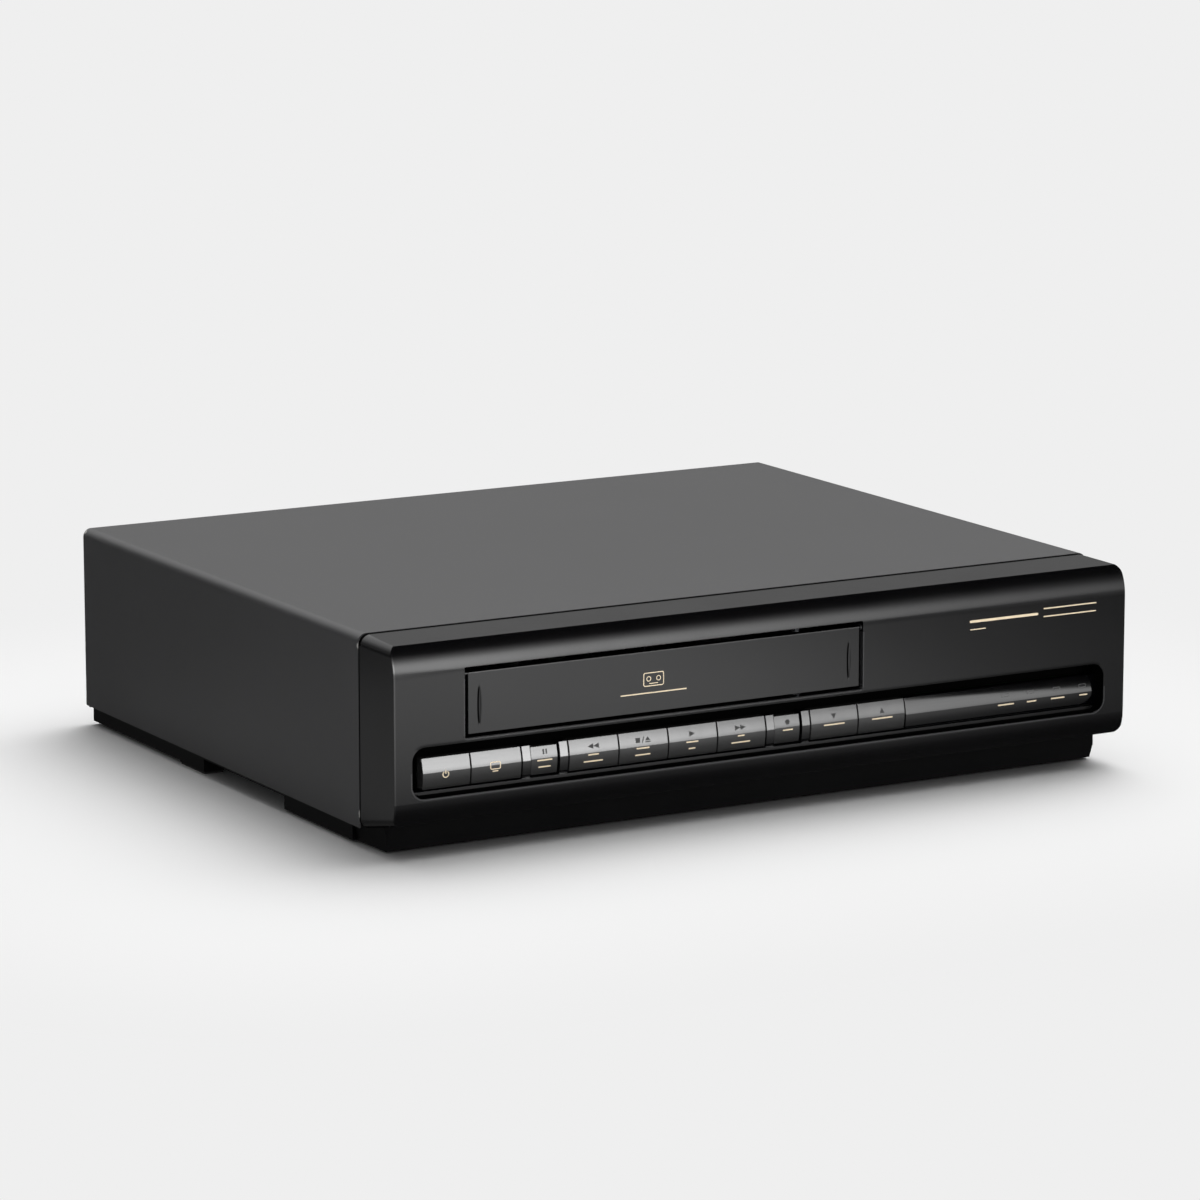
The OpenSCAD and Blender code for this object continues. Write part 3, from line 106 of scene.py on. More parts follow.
def within(tree, value, low, high, blur=0.05):
    """One where a length is between two limits in millimetres, else nothing."""
    up = add(tree, "ShaderNodeMapRange", {"Value": value, "From Min": (low - blur) * MM,
                                          "From Max": (low + blur) * MM})
    down = add(tree, "ShaderNodeMapRange", {"Value": value, "From Min": (high + blur) * MM,
                                            "From Max": (high - blur) * MM})
    return add(tree, "ShaderNodeMath", {0: up, 1: down}, operation="MULTIPLY")


def box_mask(tree, where, mask=1.0, **spans):
    """One inside a box, given by spans of x, y and z in millimetres, where the mask is one too."""
    axes = add(tree, "ShaderNodeSeparateXYZ", {"Vector": where}).outputs
    for axis, (low, high) in spans.items():
        span = within(tree, axes["xyz".index(axis)], low, high)
        mask = add(tree, "ShaderNodeMath", {0: mask, 1: span}, operation="MULTIPLY")
    return mask


def way_outside(tree, spans):
    """How far a place is outside a rectangle, from a coordinate and two edges for each way."""
    gaps = []
    for value, low, high in spans:
        short = add(tree, "ShaderNodeMath", {0: low, 1: value}, operation="SUBTRACT")
        over = add(tree, "ShaderNodeMath", {0: value, 1: high}, operation="SUBTRACT")
        gap = add(tree, "ShaderNodeMath", {0: short, 1: over}, operation="MAXIMUM")
        gaps.append(add(tree, "ShaderNodeMath", {0: gap, 1: 0.0}, operation="MAXIMUM"))
    gap = add(tree, "ShaderNodeCombineXYZ", {"X": gaps[0], "Y": gaps[1]})
    return add(tree, "ShaderNodeVectorMath", {0: gap}, operation="LENGTH").outputs["Value"]


def line_round(tree, where, opening, near, far):
    """One along a thin line that follows a rounded opening of the front, so far from its edge."""
    low, high, corner = opening
    x, _, z = add(tree, "ShaderNodeSeparateXYZ", {"Vector": where}).outputs
    span = way_outside(tree, [(x, (low[0] + corner) * MM, (high[0] - corner) * MM),
                              (z, (low[1] + corner) * MM, (high[1] - corner) * MM)])
    return within(tree, span, corner + near, corner + far, 0.1)


def dust(tree, where, colour):
    """A few pale specks of dust, a fraction of a millimetre wide, over a colour."""
    cell_mm, rare = 24, 0.55
    cells = add(tree, "ShaderNodeTexVoronoi", {"Vector": where, "Scale": 1 / (cell_mm * MM)})
    chance = add(tree, "ShaderNodeSeparateColor", {"Color": cells.outputs["Color"]})
    chosen = add(tree, "ShaderNodeMath", {0: chance, 1: rare}, operation="GREATER_THAN")
    # the distance is in cells, so this is a speck of about a hundredth of a cell
    speck = within(tree, cells.outputs["Distance"], -9.0, 11.0, 3.0)
    speck = add(tree, "ShaderNodeMath", {0: speck, 1: chosen}, operation="MULTIPLY")
    return add(tree, "ShaderNodeMix", {MASK: speck, FIRST: colour, SECOND: linear("#5a5a58")},
               data_type="RGBA").outputs[MIXED]


def moulded(name, colour, haze, roughness, grain_mm, grain_depth, edge_mm=0.3, wave=0.0,
            shine=0.5, dress=None):
    """Moulded plastic: an even black with a slight haze, a fine grain and softened edges."""
    cloud_mm, ripple_mm = 35.7, 11.1
    material, tree, shader, where = new_material(name)
    grain = add(tree, "ShaderNodeTexNoise",
                {"Vector": where, "Scale": 1 / (grain_mm * MM), "Detail": 2.0})
    cloud = add(tree, "ShaderNodeTexNoise",
                {"Vector": where, "Scale": 1 / (cloud_mm * MM), "Detail": 3.0})
    edge = add(tree, "ShaderNodeBevel", {"Radius": edge_mm * MM}, samples=4)
    relief = edge
    if wave:
        ripple = add(tree, "ShaderNodeTexNoise",
                     {"Vector": where, "Scale": 1 / (ripple_mm * MM), "Detail": 1.0})
        relief = add(tree, "ShaderNodeBump", {"Height": ripple, "Strength": 1.0,
                                              "Distance": wave * MM, "Normal": relief})
    relief = add(tree, "ShaderNodeBump", {"Height": grain, "Strength": 1.0,
                                          "Distance": grain_depth * MM, "Normal": relief})
    tree.links.new(relief.outputs[0], shader.inputs["Normal"])
    body = add(tree, "ShaderNodeMix", {MASK: cloud, FIRST: linear(colour), SECOND: linear(haze)},
               data_type="RGBA").outputs[MIXED]
    if dress:
        body = dust(tree, where, body)
    tree.links.new(body, shader.inputs["Base Color"])
    spread = add(tree, "ShaderNodeMapRange", {"Value": cloud, "From Min": 0.3, "From Max": 0.7,
                                              "To Min": roughness * 0.93,
                                              "To Max": roughness * 1.07})
    tree.links.new(spread.outputs[0], shader.inputs["Roughness"])
    shader.inputs["IOR"].default_value = 1.5
    shader.inputs["Specular IOR Level"].default_value = shine
    if dress:
        dress(tree, shader, where, edge, body, spread, edge_mm, shine)
    return material


def dress_panel(tree, shader, where, edge, body, spread, edge_mm, shine):
    """The panel: painted shade, dull and near black, on its button row's back wall and in the
    seam beside the cover; its polished posts and rolled lip; and painted highlights, the fine pale
    lines along its openings' rounded edges."""
    x = add(tree, "ShaderNodeSeparateXYZ", {"Vector": where}).outputs[0]
    posts = 0.0
    for start in POSTS:
        posts = add(tree, "ShaderNodeMath", {0: within(tree, x, start, start + POST_W), 1: posts},
                    operation="ADD")
    posts = box_mask(tree, where, posts, y=(-181.0, -172.0), z=(33.0, 50.0))
    between = add(tree, "ShaderNodeMath", {0: 1.0, 1: posts}, operation="SUBTRACT")
    # painted shade: the back wall between the posts, the shelf under the keys, the seams beside the
    # cover and the wall just inside the row's edge get a near-black, dull colour
    painted_shade = box_mask(tree, where, between, x=(-206.0, 201.2), y=(-176.0, -165.0), z=(31.0, 57.0))
    shelf = box_mask(tree, where, x=(-205.0, 202.3), y=(-182.4, -165.0), z=(28.0, 30.9))
    seam = box_mask(tree, where, y=(-149.4, -140.0), z=(102.0, 110.0))
    side_seam = box_mask(tree, where, y=(-148.2, -140.0))
    row_wall = box_mask(tree, where, line_round(tree, where, KEY_ROW, -1.0, 0.1),
                        y=(-183.2, -165.0))
    for part in (shelf, seam, side_seam, row_wall):
        painted_shade = add(tree, "ShaderNodeMath", {0: painted_shade, 1: part}, operation="MAXIMUM")

    # the roughness and the sheen: dull where the shade is painted, polished on the posts
    smooth = add(tree, "ShaderNodeMix", {0: posts, 2: spread, 3: 0.1}, data_type="FLOAT")
    dull = add(tree, "ShaderNodeMix", {0: painted_shade, 2: smooth, 3: 0.85}, data_type="FLOAT")
    tree.links.new(dull.outputs[0], shader.inputs["Roughness"])
    side = box_mask(tree, where, x=(-216.0, -213.8))
    sheen = add(tree, "ShaderNodeMapRange", {"Value": side, "To Min": shine, "To Max": 0.4})
    sheen = add(tree, "ShaderNodeMapRange", {"Value": posts, "To Min": sheen, "To Max": 0.6})
    sheen = add(tree, "ShaderNodeMapRange", {"Value": painted_shade, "To Min": sheen, "To Max": 0.02})
    tree.links.new(sheen.outputs[0], shader.inputs["Specular IOR Level"])

    # painted highlights: pale rims on the lower and side edges, where the light would catch the
    # rounded edges
    row_rim = box_mask(tree, where, line_round(tree, where, KEY_ROW, 0.1, 0.8), z=(20.0, 44.0))
    mouth_rim = box_mask(tree, where, line_round(tree, where, MOUTH, 0.0, 0.6), z=(50.0, 88.0))
    rim = add(tree, "ShaderNodeMath", {0: row_rim, 1: mouth_rim}, operation="MAXIMUM")
    rim = box_mask(tree, where, rim, y=(-185.0, -181.0))
    body = add(tree, "ShaderNodeMix", {MASK: rim, FIRST: body, SECOND: linear("#323233")},
               data_type="RGBA").outputs[MIXED]
    # the painted shade, near black, goes over everything else
    body = add(tree, "ShaderNodeMix", {MASK: painted_shade, FIRST: body, SECOND: linear("#020202")},
               data_type="RGBA").outputs[MIXED]
    tree.links.new(body, shader.inputs["Base Color"])

    lip = box_mask(tree, where, x=(-210.0, 207.0), y=(-185.0, -182.0), z=(55.5, 59.5))
    roll = add(tree, "ShaderNodeMapRange", {"Value": lip, "To Min": edge_mm * MM,
                                            "To Max": 2.4 * MM})
    tree.links.new(roll.outputs[0], edge.inputs["Radius"])


def dress_door(tree, shader, where, edge, body, spread, edge_mm, shine):
    """The door: painted shade, black and dull, in the gap above it and in the core of each of the
    finger dimples.
    """
    # painted shade: the gap above the door and the dimples' cores are coloured near black
    painted_shade = box_mask(tree, where, y=(-183.4, -170.0), z=(90.7, 96.0))
    for dimple in DIMPLES:
        core = box_mask(tree, where, x=dimple, y=(-183.25, -182.4), z=(62.0, 86.0))
        painted_shade = add(tree, "ShaderNodeMath", {0: core, 1: painted_shade}, operation="MAXIMUM")
    body = add(tree, "ShaderNodeMix", {MASK: painted_shade, FIRST: body, SECOND: linear("#020202")},
               data_type="RGBA").outputs[MIXED]
    tree.links.new(body, shader.inputs["Base Color"])
    sheen = add(tree, "ShaderNodeMapRange", {"Value": painted_shade, "To Min": shine, "To Max": 0.02})
    tree.links.new(sheen.outputs[0], shader.inputs["Specular IOR Level"])


def metal(name, colour, dull, roughness, grain_mm, depth=0.01):
    """Bare metal: a plated or cast skin with fine uneven grain."""
    material, tree, shader, where = new_material(name)
    grain = add(tree, "ShaderNodeTexNoise",
                {"Vector": where, "Scale": 1 / (grain_mm * MM), "Detail": 3.0})
    relief = add(tree, "ShaderNodeBump", {"Height": grain, "Strength": 1.0,
                                          "Distance": depth * MM})
    tree.links.new(relief.outputs[0], shader.inputs["Normal"])
    body = add(tree, "ShaderNodeMix", {MASK: grain, FIRST: linear(colour), SECOND: linear(dull)},
               data_type="RGBA").outputs[MIXED]
    tree.links.new(body, shader.inputs["Base Color"])
    shader.inputs["Metallic"].default_value = 1.0
    shader.inputs["Roughness"].default_value = roughness
    return material


def painted_steel(name):
    """Baked paint on sheet steel: a fine even texture that blurs what it mirrors, chipped
    through to pale metal at the corners."""
    grit_mm, cloud_mm, ragged_mm = 0.5, 71.4, 1.11
    material, tree, shader, where = new_material(name)
    grit = add(tree, "ShaderNodeTexNoise",
               {"Vector": where, "Scale": 1 / (grit_mm * MM), "Detail": 2.0})
    cloud = add(tree, "ShaderNodeTexNoise",
                {"Vector": where, "Scale": 1 / (cloud_mm * MM), "Detail": 2.0})
    relief = add(tree, "ShaderNodeBump", {"Height": grit, "Strength": 1.0, "Distance": 0.02 * MM})
    tree.links.new(relief.outputs[0], shader.inputs["Normal"])
    body = add(tree, "ShaderNodeMix",
               {MASK: cloud, FIRST: linear("#343435"), SECOND: linear("#383839")},
               data_type="RGBA").outputs[MIXED]
    ragged = add(tree, "ShaderNodeTexNoise", {"Vector": where, "Scale": 1 / (ragged_mm * MM)})
    for spot, reach in CHIPS:
        away = add(tree, "ShaderNodeVectorMath", {0: where, 1: [value * MM for value in spot]},
                   operation="DISTANCE").outputs["Value"]
        away = add(tree, "ShaderNodeMath", {0: ragged, 1: 3 * MM, 2: away},
                   operation="MULTIPLY_ADD")
        chip = within(tree, away, -9.0, reach + 1.5, 0.15)
        body = add(tree, "ShaderNodeMix", {MASK: chip, FIRST: body, SECOND: linear("#8c8b88")},
                   data_type="RGBA").outputs[MIXED]
    tree.links.new(dust(tree, where, body), shader.inputs["Base Color"])
    shader.inputs["Roughness"].default_value = 0.42
    shader.inputs["IOR"].default_value = 1.5
    return material


def rubber(name):
    """Moulded rubber: matt, with a faint pale bloom."""
    bloom_mm = 2.5
    material, tree, shader, where = new_material(name)
    bloom = add(tree, "ShaderNodeTexNoise",
                {"Vector": where, "Scale": 1 / (bloom_mm * MM), "Detail": 3.0})
    body = add(tree, "ShaderNodeMix",
               {MASK: bloom, FIRST: linear("#151515"), SECOND: linear("#232322")},
               data_type="RGBA").outputs[MIXED]
    tree.links.new(body, shader.inputs["Base Color"])
    shader.inputs["Roughness"].default_value = 0.7
    return material


def printed_ink(name, colour):
    """Screen-printed ink: opaque, flat, with the weave of the screen in its roughness."""
    threads_per_mm = 3
    material, tree, shader, where = new_material(name)
    weave = add(tree, "ShaderNodeTexNoise",
                {"Vector": where, "Scale": threads_per_mm / MM, "Detail": 1.0})
    spread = add(tree, "ShaderNodeMapRange", {"Value": weave, "To Min": 0.45, "To Max": 0.7})
    tree.links.new(spread.outputs[0], shader.inputs["Roughness"])
    shader.inputs["Base Color"].default_value = linear(colour)
    return material


# satin ABS: near black with a soft sheen, and highlights that roll along the brow and the lip
panel_abs = moulded("satin_moulded_abs_panel", "#050506", "#070708", roughness=0.22,
                    grain_mm=0.35, grain_depth=0.004, edge_mm=0.35, shine=0.24,
                    dress=dress_panel)
# the door's ABS: the same satin, a shade greyer, so the flap stands out from the panel
door_abs = moulded("satin_moulded_abs_door", "#070708", "#0a0a0b", roughness=0.23,
                   grain_mm=0.35, grain_depth=0.004, shine=0.28, dress=dress_door)
# polished ABS: dark grey keys with clear bands of light, a little wavy
key_abs = moulded("polished_moulded_abs", "#262626", "#2a2a2a", roughness=0.12, grain_mm=0.8,
                  grain_depth=0.001, edge_mm=0.25, wave=0.02)
# grained ABS: a flat black with hardly any sheen, low under the front
base_abs = moulded("grained_moulded_abs", "#040405", "#070708", roughness=0.5, grain_mm=0.5,
                   grain_depth=0.02, shine=0.14)
# smoked acrylic: black glass that mirrors sharply
smoked_acrylic = moulded("smoked_acrylic", "#020203", "#030304", roughness=0.05, grain_mm=1.5,
                         grain_depth=0.0005)
# red acrylic: small glossy dark red lenses
red_acrylic = moulded("red_cast_acrylic", "#7d1712", "#8a1d15", roughness=0.15, grain_mm=1.0,
                      grain_depth=0.001)
# moulded resin: the dull charcoal of switches and chips
black_resin = moulded("moulded_black_resin", "#19191b", "#232325", roughness=0.35, grain_mm=0.3,
                      grain_depth=0.01)
# dark acetal: the smooth satin of the reels
reel_acetal = moulded("satin_moulded_acetal", "#1f1f21", "#262628", roughness=0.35, grain_mm=0.4,
                      grain_depth=0.005)
# natural acetal: waxy off-white gears
white_acetal = moulded("moulded_white_acetal", "#d8d2c2", "#e2dccc", roughness=0.35,
                       grain_mm=0.4, grain_depth=0.004)
# solder mask: a glossy green lacquer over the boards
solder_mask = moulded("green_solder_mask", "#1f4a2b", "#2c6a3c", roughness=0.25, grain_mm=1.2,
                      grain_depth=0.01)
# baked paint: charcoal with soft, spread-out reflections
cover_paint = painted_steel("baked_textured_paint")
# zinc plate: cool bright pressings
zinc_steel = metal("zinc_plated_steel", "#b4b6ba", "#9da0a6", roughness=0.32, grain_mm=1.5)
# tinned steel: paler, smoother cans
tinned_steel = metal("tinned_steel", "#c3c4c6", "#a7a9ab", roughness=0.26, grain_mm=2.5)
# cast aluminium: a pale grey with a rough skin
cast_alloy = metal("cast_aluminium", "#b8babc", "#a4a6a8", roughness=0.4, grain_mm=0.6,
                   depth=0.02)
# turned aluminium: nearly a mirror
turned_alloy = metal("turned_aluminium", "#d2d3d4", "#c0c1c3", roughness=0.16, grain_mm=0.4)
# nickel plate: warm bright connectors
nickel = metal("nickel_plate", "#cfcbbf", "#b9b5a8", roughness=0.2, grain_mm=1.0)
# painted steel: plain black sheet with a low sheen
black_steel = moulded("black_painted_steel", "#131314", "#19191a", roughness=0.4, grain_mm=0.4,
                      grain_depth=0.01)
# varnished laminations: the brownish grey stack of a core
core_steel = moulded("varnished_steel_laminations", "#4a4743", "#5c5852", roughness=0.4,
                     grain_mm=0.5, grain_depth=0.05)
# moulded rubber: matt black that barely mirrors
foot_rubber = rubber("moulded_rubber")
# screen inks: flat cream on the black parts, flat black and grey on the shiny ones
cream_ink = printed_ink("cream_screen_ink", "#efdcbc")
black_ink = printed_ink("black_screen_ink", "#0b0b0b")
grey_ink = printed_ink("grey_screen_ink", "#4a4a4a")

finishes = {
    cover_paint: ["top_cover"],
    panel_abs: ["front_panel"],
    door_abs: ["cassette_door"],
    key_abs: [name for name in nodes if name.endswith("_button")],
    base_abs: ["front_plinth", "base_frame"],
    smoked_acrylic: ["indicator_window"],
    red_acrylic: ["indicator_lamps"],
    foot_rubber: ["rubber_feet", "cord_gland", "reel_belt", "idler_wheel", "pinch_roller"],
    black_steel: ["rear_panel", "cover_screws", "cassette_holder", "door_spring"],
    black_resin: ["tact_switches", "board_parts", "channel_switch"],
    reel_acetal: ["supply_reel", "take_up_reel"],
    white_acetal: ["cam_gear", "centre_pulley"],
    solder_mask: ["front_board", "main_board", "power_board"],
    core_steel: ["transformer"],
    nickel: ["rf_connectors", "phono_jacks"],
    tinned_steel: ["remote_sensor", "tuner_can", "rf_modulator", "head_amp_can"],
    turned_alloy: ["upper_drum", "lower_drum", "erase_head", "audio_head"],
    cast_alloy: ["deck_plate", "capstan_housing", "heat_sink", "capstan"],
    zinc_steel: ["bottom_plate", "carriage_brackets", "carriage_sled", "loading_motor",
                 "idler_arm", "pinch_arm", "entry_guide", "exit_guide", "tension_arm"],
}
for material, names in finishes.items():
    for name in names:
        nodes[name].data.materials.clear()
        nodes[name].data.materials.append(material)
plain = sorted(set(nodes) - {name for names in finishes.values() for name in names})
if plain:
    raise RuntimeError(f"no finish for {plain}")


# printed marks, drawn in mm across and up from the middle of the piece that carries them

KEY_CREASE_Z, KEY_FACE_R = 41.8, 40.0
WINDOW_CREASE_Z = 40.7
SIGN_Z, LINE_Z, LOW_LINE_Z = 45.0, 40.9, 37.5
INK_PROUD, INK_SUNK, INK_STRIP = 0.05, 0.02, 0.6


def curved_face(node, crease_z=KEY_CREASE_Z):
    """Depth in mm of a piece's two-arc front at a height, from its crease and frontmost line."""
    front_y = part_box(node)[0][1] / MM

    def depth(z):
        tilt = math.radians(8 if z > crease_z else -1)
        centre_y = front_y + KEY_FACE_R * math.cos(tilt)
        drop = z - (crease_z - KEY_FACE_R * math.sin(tilt))
        return centre_y - math.sqrt(KEY_FACE_R ** 2 - drop ** 2)
    return depth


def flat_face(node):
    """Depth in mm of a piece's upright front, the same at every height."""
    front_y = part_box(node)[0][1] / MM
    return lambda z: front_y


def bar(x, z, width, height):
    """A printed line with round ends, as one outline."""
    r = height / 2
    ends = []
    for side, start in ((1, -90), (-1, 90)):
        for step in range(7):
            a = math.radians(start + 30 * step)
            ends.append((x + side * (width / 2 - r) + r * math.cos(a), z + r * math.sin(a)))
    return [ends]


def arrow(x, z, width, height, to):
    """A solid triangle that points left, right, up or down."""
    w, h = width / 2, height / 2
    return [{"left": [(x + w, z - h), (x + w, z + h), (x - w, z)],
             "right": [(x - w, z - h), (x + w, z), (x - w, z + h)],
             "up": [(x - w, z - h), (x + w, z - h), (x, z + h)],
             "down": [(x - w, z + h), (x, z - h), (x + w, z + h)]}[to]]


def block(x, z, width, height, slant=0.0):
    """A solid rectangle, or a stroke whose top leans to the right by the slant."""
    w, h, s = width / 2, height / 2, slant / 2
    return [[(x - w - s, z - h), (x + w - s, z - h), (x + w + s, z + h), (x - w + s, z + h)]]


def arc_line(x, z, radius, line, start=0, sweep=360, steps=20):
    """A printed ring, or part of one, as short flat lengths."""
    turns = [math.radians(start + sweep * i / steps) for i in range(steps + 1)]
    inner, outer = radius - line / 2, radius + line / 2
    return [[(x + r * math.cos(a), z + r * math.sin(a))
             for r, a in ((inner, first), (outer, first), (outer, second), (inner, second))]
            for first, second in zip(turns, turns[1:])]


def outline_box(x, z, width, height, line, corner):
    """A printed frame with round corners, as short flat lengths."""
    shapes = []
    w, h = width / 2 - corner, height / 2 - corner
    for cx, cz, start in ((w, h, 0), (-w, h, 90), (-w, -h, 180), (w, -h, 270)):
        shapes += arc_line(x + cx, z + cz, corner, line, start, 90, 5)
    shapes += block(x, z + height / 2, 2 * w, line) + block(x, z - height / 2, 2 * w, line)
    shapes += block(x + width / 2, z, line, 2 * h) + block(x - width / 2, z, line, 2 * h)
    return shapes


def disc(x, z, radius):
    """A solid round dot."""
    return [[(x + radius * math.cos(math.radians(a)), z + radius * math.sin(math.radians(a)))
             for a in range(0, 360, 20)]]


def printed(name, body, ink, shapes, node, face):
    """A mark of thick ink: flat outlines cut into strips, bent to the face and given an edge."""
    low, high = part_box(node)
    middle = (low[0] + high[0]) / 2 / MM
    skin = bmesh.new()
    for outline in shapes:
        skin.faces.new([skin.verts.new((middle + x, 0, z)) for x, z in outline])
    bottom = min(v.co.z for v in skin.verts)
    top = max(v.co.z for v in skin.verts)
    for step in range(math.ceil(bottom / INK_STRIP), math.floor(top / INK_STRIP) + 1):
        bmesh.ops.bisect_plane(skin, geom=skin.verts[:] + skin.edges[:] + skin.faces[:],
                               plane_co=(0, 0, step * INK_STRIP), plane_no=(0, 0, 1))
    raised = bmesh.ops.extrude_face_region(skin, geom=skin.faces[:], use_keep_orig=True)
    for part in raised["geom"]:
        if isinstance(part, bmesh.types.BMVert):
            part.co.y = -INK_PROUD - INK_SUNK
    for v in skin.verts:
        v.co = Vector((v.co.x, face(v.co.z) + v.co.y + INK_SUNK, v.co.z)) * MM
    bmesh.ops.recalc_face_normals(skin, faces=skin.faces[:])
    mesh = bpy.data.meshes.new(name)
    skin.to_mesh(mesh)
    skin.free()
    mesh.materials.append(ink)
    piece = bpy.data.objects.new(name, mesh)
    scene.collection.objects.link(piece)
    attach(piece, body)


# the transport signs, dark on the keys' leaning tops
signs = {
    "pause": block(-0.3, SIGN_Z, 0.8, 2.5) + block(1.3, SIGN_Z, 0.8, 2.5),
    "rewind": arrow(-1.85, SIGN_Z, 3.2, 2.6, "left") + arrow(1.35, SIGN_Z, 3.2, 2.6, "left"),
    "stop": block(-3.25, SIGN_Z - 0.1, 2.5, 2.4) + block(-0.3, SIGN_Z - 0.1, 0.5, 3.0, 1.2)
            + arrow(2.45, SIGN_Z + 0.4, 3.0, 1.8, "up") + block(2.45, SIGN_Z - 1.2, 3.0, 0.5),
    "play": arrow(-0.45, SIGN_Z, 3.2, 2.8, "right"),
    "forward": arrow(-2.25, SIGN_Z, 3.2, 2.6, "right") + arrow(0.95, SIGN_Z, 3.2, 2.6, "right"),
    "record": disc(0.3, SIGN_Z - 0.6, 1.3),
    "channel_down": arrow(-0.25, SIGN_Z - 0.3, 2.9, 2.7, "down"),
    "channel_up": arrow(0.25, SIGN_Z - 0.5, 2.9, 2.7, "up"),
}
# pale signs on the two keys at the left, and plain pale lines on the others' upright halves
lines = {
    "power": arc_line(-0.5, 40.4, 1.6, 0.5, 125, 290) + block(-0.5, 41.6, 0.5, 2.0),
    "source": outline_box(-0.65, 41.6, 5.4, 3.4, 0.5, 0.7) + bar(-0.65, 38.8, 3.2, 0.55),
    "pause": bar(0.2, LINE_Z, 8.6, 0.7) + bar(0.2, LOW_LINE_Z, 7.0, 0.7),
    "rewind": bar(-0.35, LINE_Z, 6.2, 0.7) + bar(-0.35, LOW_LINE_Z, 11.0, 0.7),
    "stop": bar(-0.55, LINE_Z, 7.6, 0.7) + bar(-0.55, LOW_LINE_Z, 8.8, 0.7),
    "play": bar(-0.55, LINE_Z, 7.0, 0.7) + bar(-0.55, LOW_LINE_Z, 4.0, 0.7),
    "forward": bar(-0.55, LINE_Z, 4.0, 0.7) + bar(-0.55, LOW_LINE_Z, 11.0, 0.7),
    "record": bar(0.4, LINE_Z - 0.5, 6.0, 0.7),
    "channel_down": bar(-0.15, LINE_Z - 0.3, 12.5, 0.7),
    "channel_up": bar(0.25, LINE_Z - 0.3, 12.5, 0.7),
}
for marks, kind, slot, ink in ((signs, "sign", "part_black", black_ink),
                               (lines, "line", "white_plastic", cream_ink)):
    for key, shapes in marks.items():
        node = f"{key}_button"
        printed(f"{key}_{kind}", f"{key}_key", ink, shapes, node, curved_face(node))

# a small frame over each lamp behind the window, and a pale line under it
window_face = curved_face("indicator_window", WINDOW_CREASE_Z)
windows, captions = [], []
for x, width in ((1.9, 10.0), (17.8, 6.0), (34.2, 8.5), (50.4, 5.2)):
    windows += outline_box(x, 44.15, 4.2, 1.5, 0.25, 0.3)
    captions += bar(x + 0.4, 39.4, width, 0.7)
printed("lamp_frames", "chassis", grey_ink, windows, "indicator_window", window_face)
printed("lamp_lines", "chassis", cream_ink, captions, "indicator_window",
        window_face)

# a cassette sign over a plain line on the door, and plain lines high on the panel
printed("door_sign", "door", cream_ink,
        outline_box(-8.05, 76.6, 11.4, 6.6, 0.45, 0.9) + arc_line(-10.85, 76.9, 1.15, 0.4)
        + arc_line(-5.25, 76.9, 1.15, 0.4) + bar(-8.05, 74.5, 5.0, 0.4)
        + bar(-8.05, 69.8, 38.0, 0.6), "cassette_door", flat_face("cassette_door"))
printed("panel_lines", "chassis", cream_ink,
        bar(139.0, 86.6, 42.4, 1.3) + bar(180.0, 89.0, 33.0, 0.6) + bar(180.0, 84.8, 33.0, 0.6)
        + bar(123.0, 82.4, 9.6, 0.5), "front_panel", flat_face("front_panel"))


# the studio, in metres and degrees

CAMERA_AT = (-1.3595, -2.3899, 0.6253)
CAMERA_DOWN, CAMERA_LEFT = 11.26, 29.72
BACKGROUND = "#efefef"
FILL_TOWARD = (0.38, 0.25, 0.89)

camera_data = bpy.data.cameras.new("camera")
camera_data.sensor_width = 36
camera_data.lens = 158.28
camera_data.clip_end = 30
camera = bpy.data.objects.new("camera", camera_data)
camera.location = CAMERA_AT
camera.rotation_euler = (math.radians(90 - CAMERA_DOWN), 0, math.radians(-CAMERA_LEFT))
scene.collection.objects.link(camera)
scene.camera = camera
scene.view_settings.view_transform = "Standard"


def levels(tree, value, stops):
    """A curve of brightness over a value, from its first stop to its last."""
    start, end = stops[0][0], stops[-1][0]
    top = max(level for _, level in stops)
    place = add(tree, "ShaderNodeMapRange", {"Value": value, "From Min": start, "From Max": end})
    curve = add(tree, "ShaderNodeValToRGB", {"Fac": place})
    marks = curve.color_ramp.elements
    while len(marks) < len(stops):
        marks.new(1.0)
    for mark, (at, level) in zip(marks, stops):
        mark.position = (at - start) / (end - start)
        mark.color = [level / top] * 3 + [1.0]
    return add(tree, "ShaderNodeMath", {0: curve, 1: top}, operation="MULTIPLY")


def bearings(tree, aim):
    """A direction's turn to the right of straight ahead of the front, and its rise, in degrees."""
    way = add(tree, "ShaderNodeSeparateXYZ", {"Vector": aim}).outputs
    ahead = add(tree, "ShaderNodeMath", {0: way[1], 1: -1.0}, operation="MULTIPLY")
    turn = add(tree, "ShaderNodeMath", {0: way[0], 1: ahead}, operation="ARCTAN2")
    rise = add(tree, "ShaderNodeMath", {0: way[2]}, operation="ARCSINE")
    return (add(tree, "ShaderNodeMath", {0: turn}, operation="DEGREES"),
            add(tree, "ShaderNodeMath", {0: rise}, operation="DEGREES"))


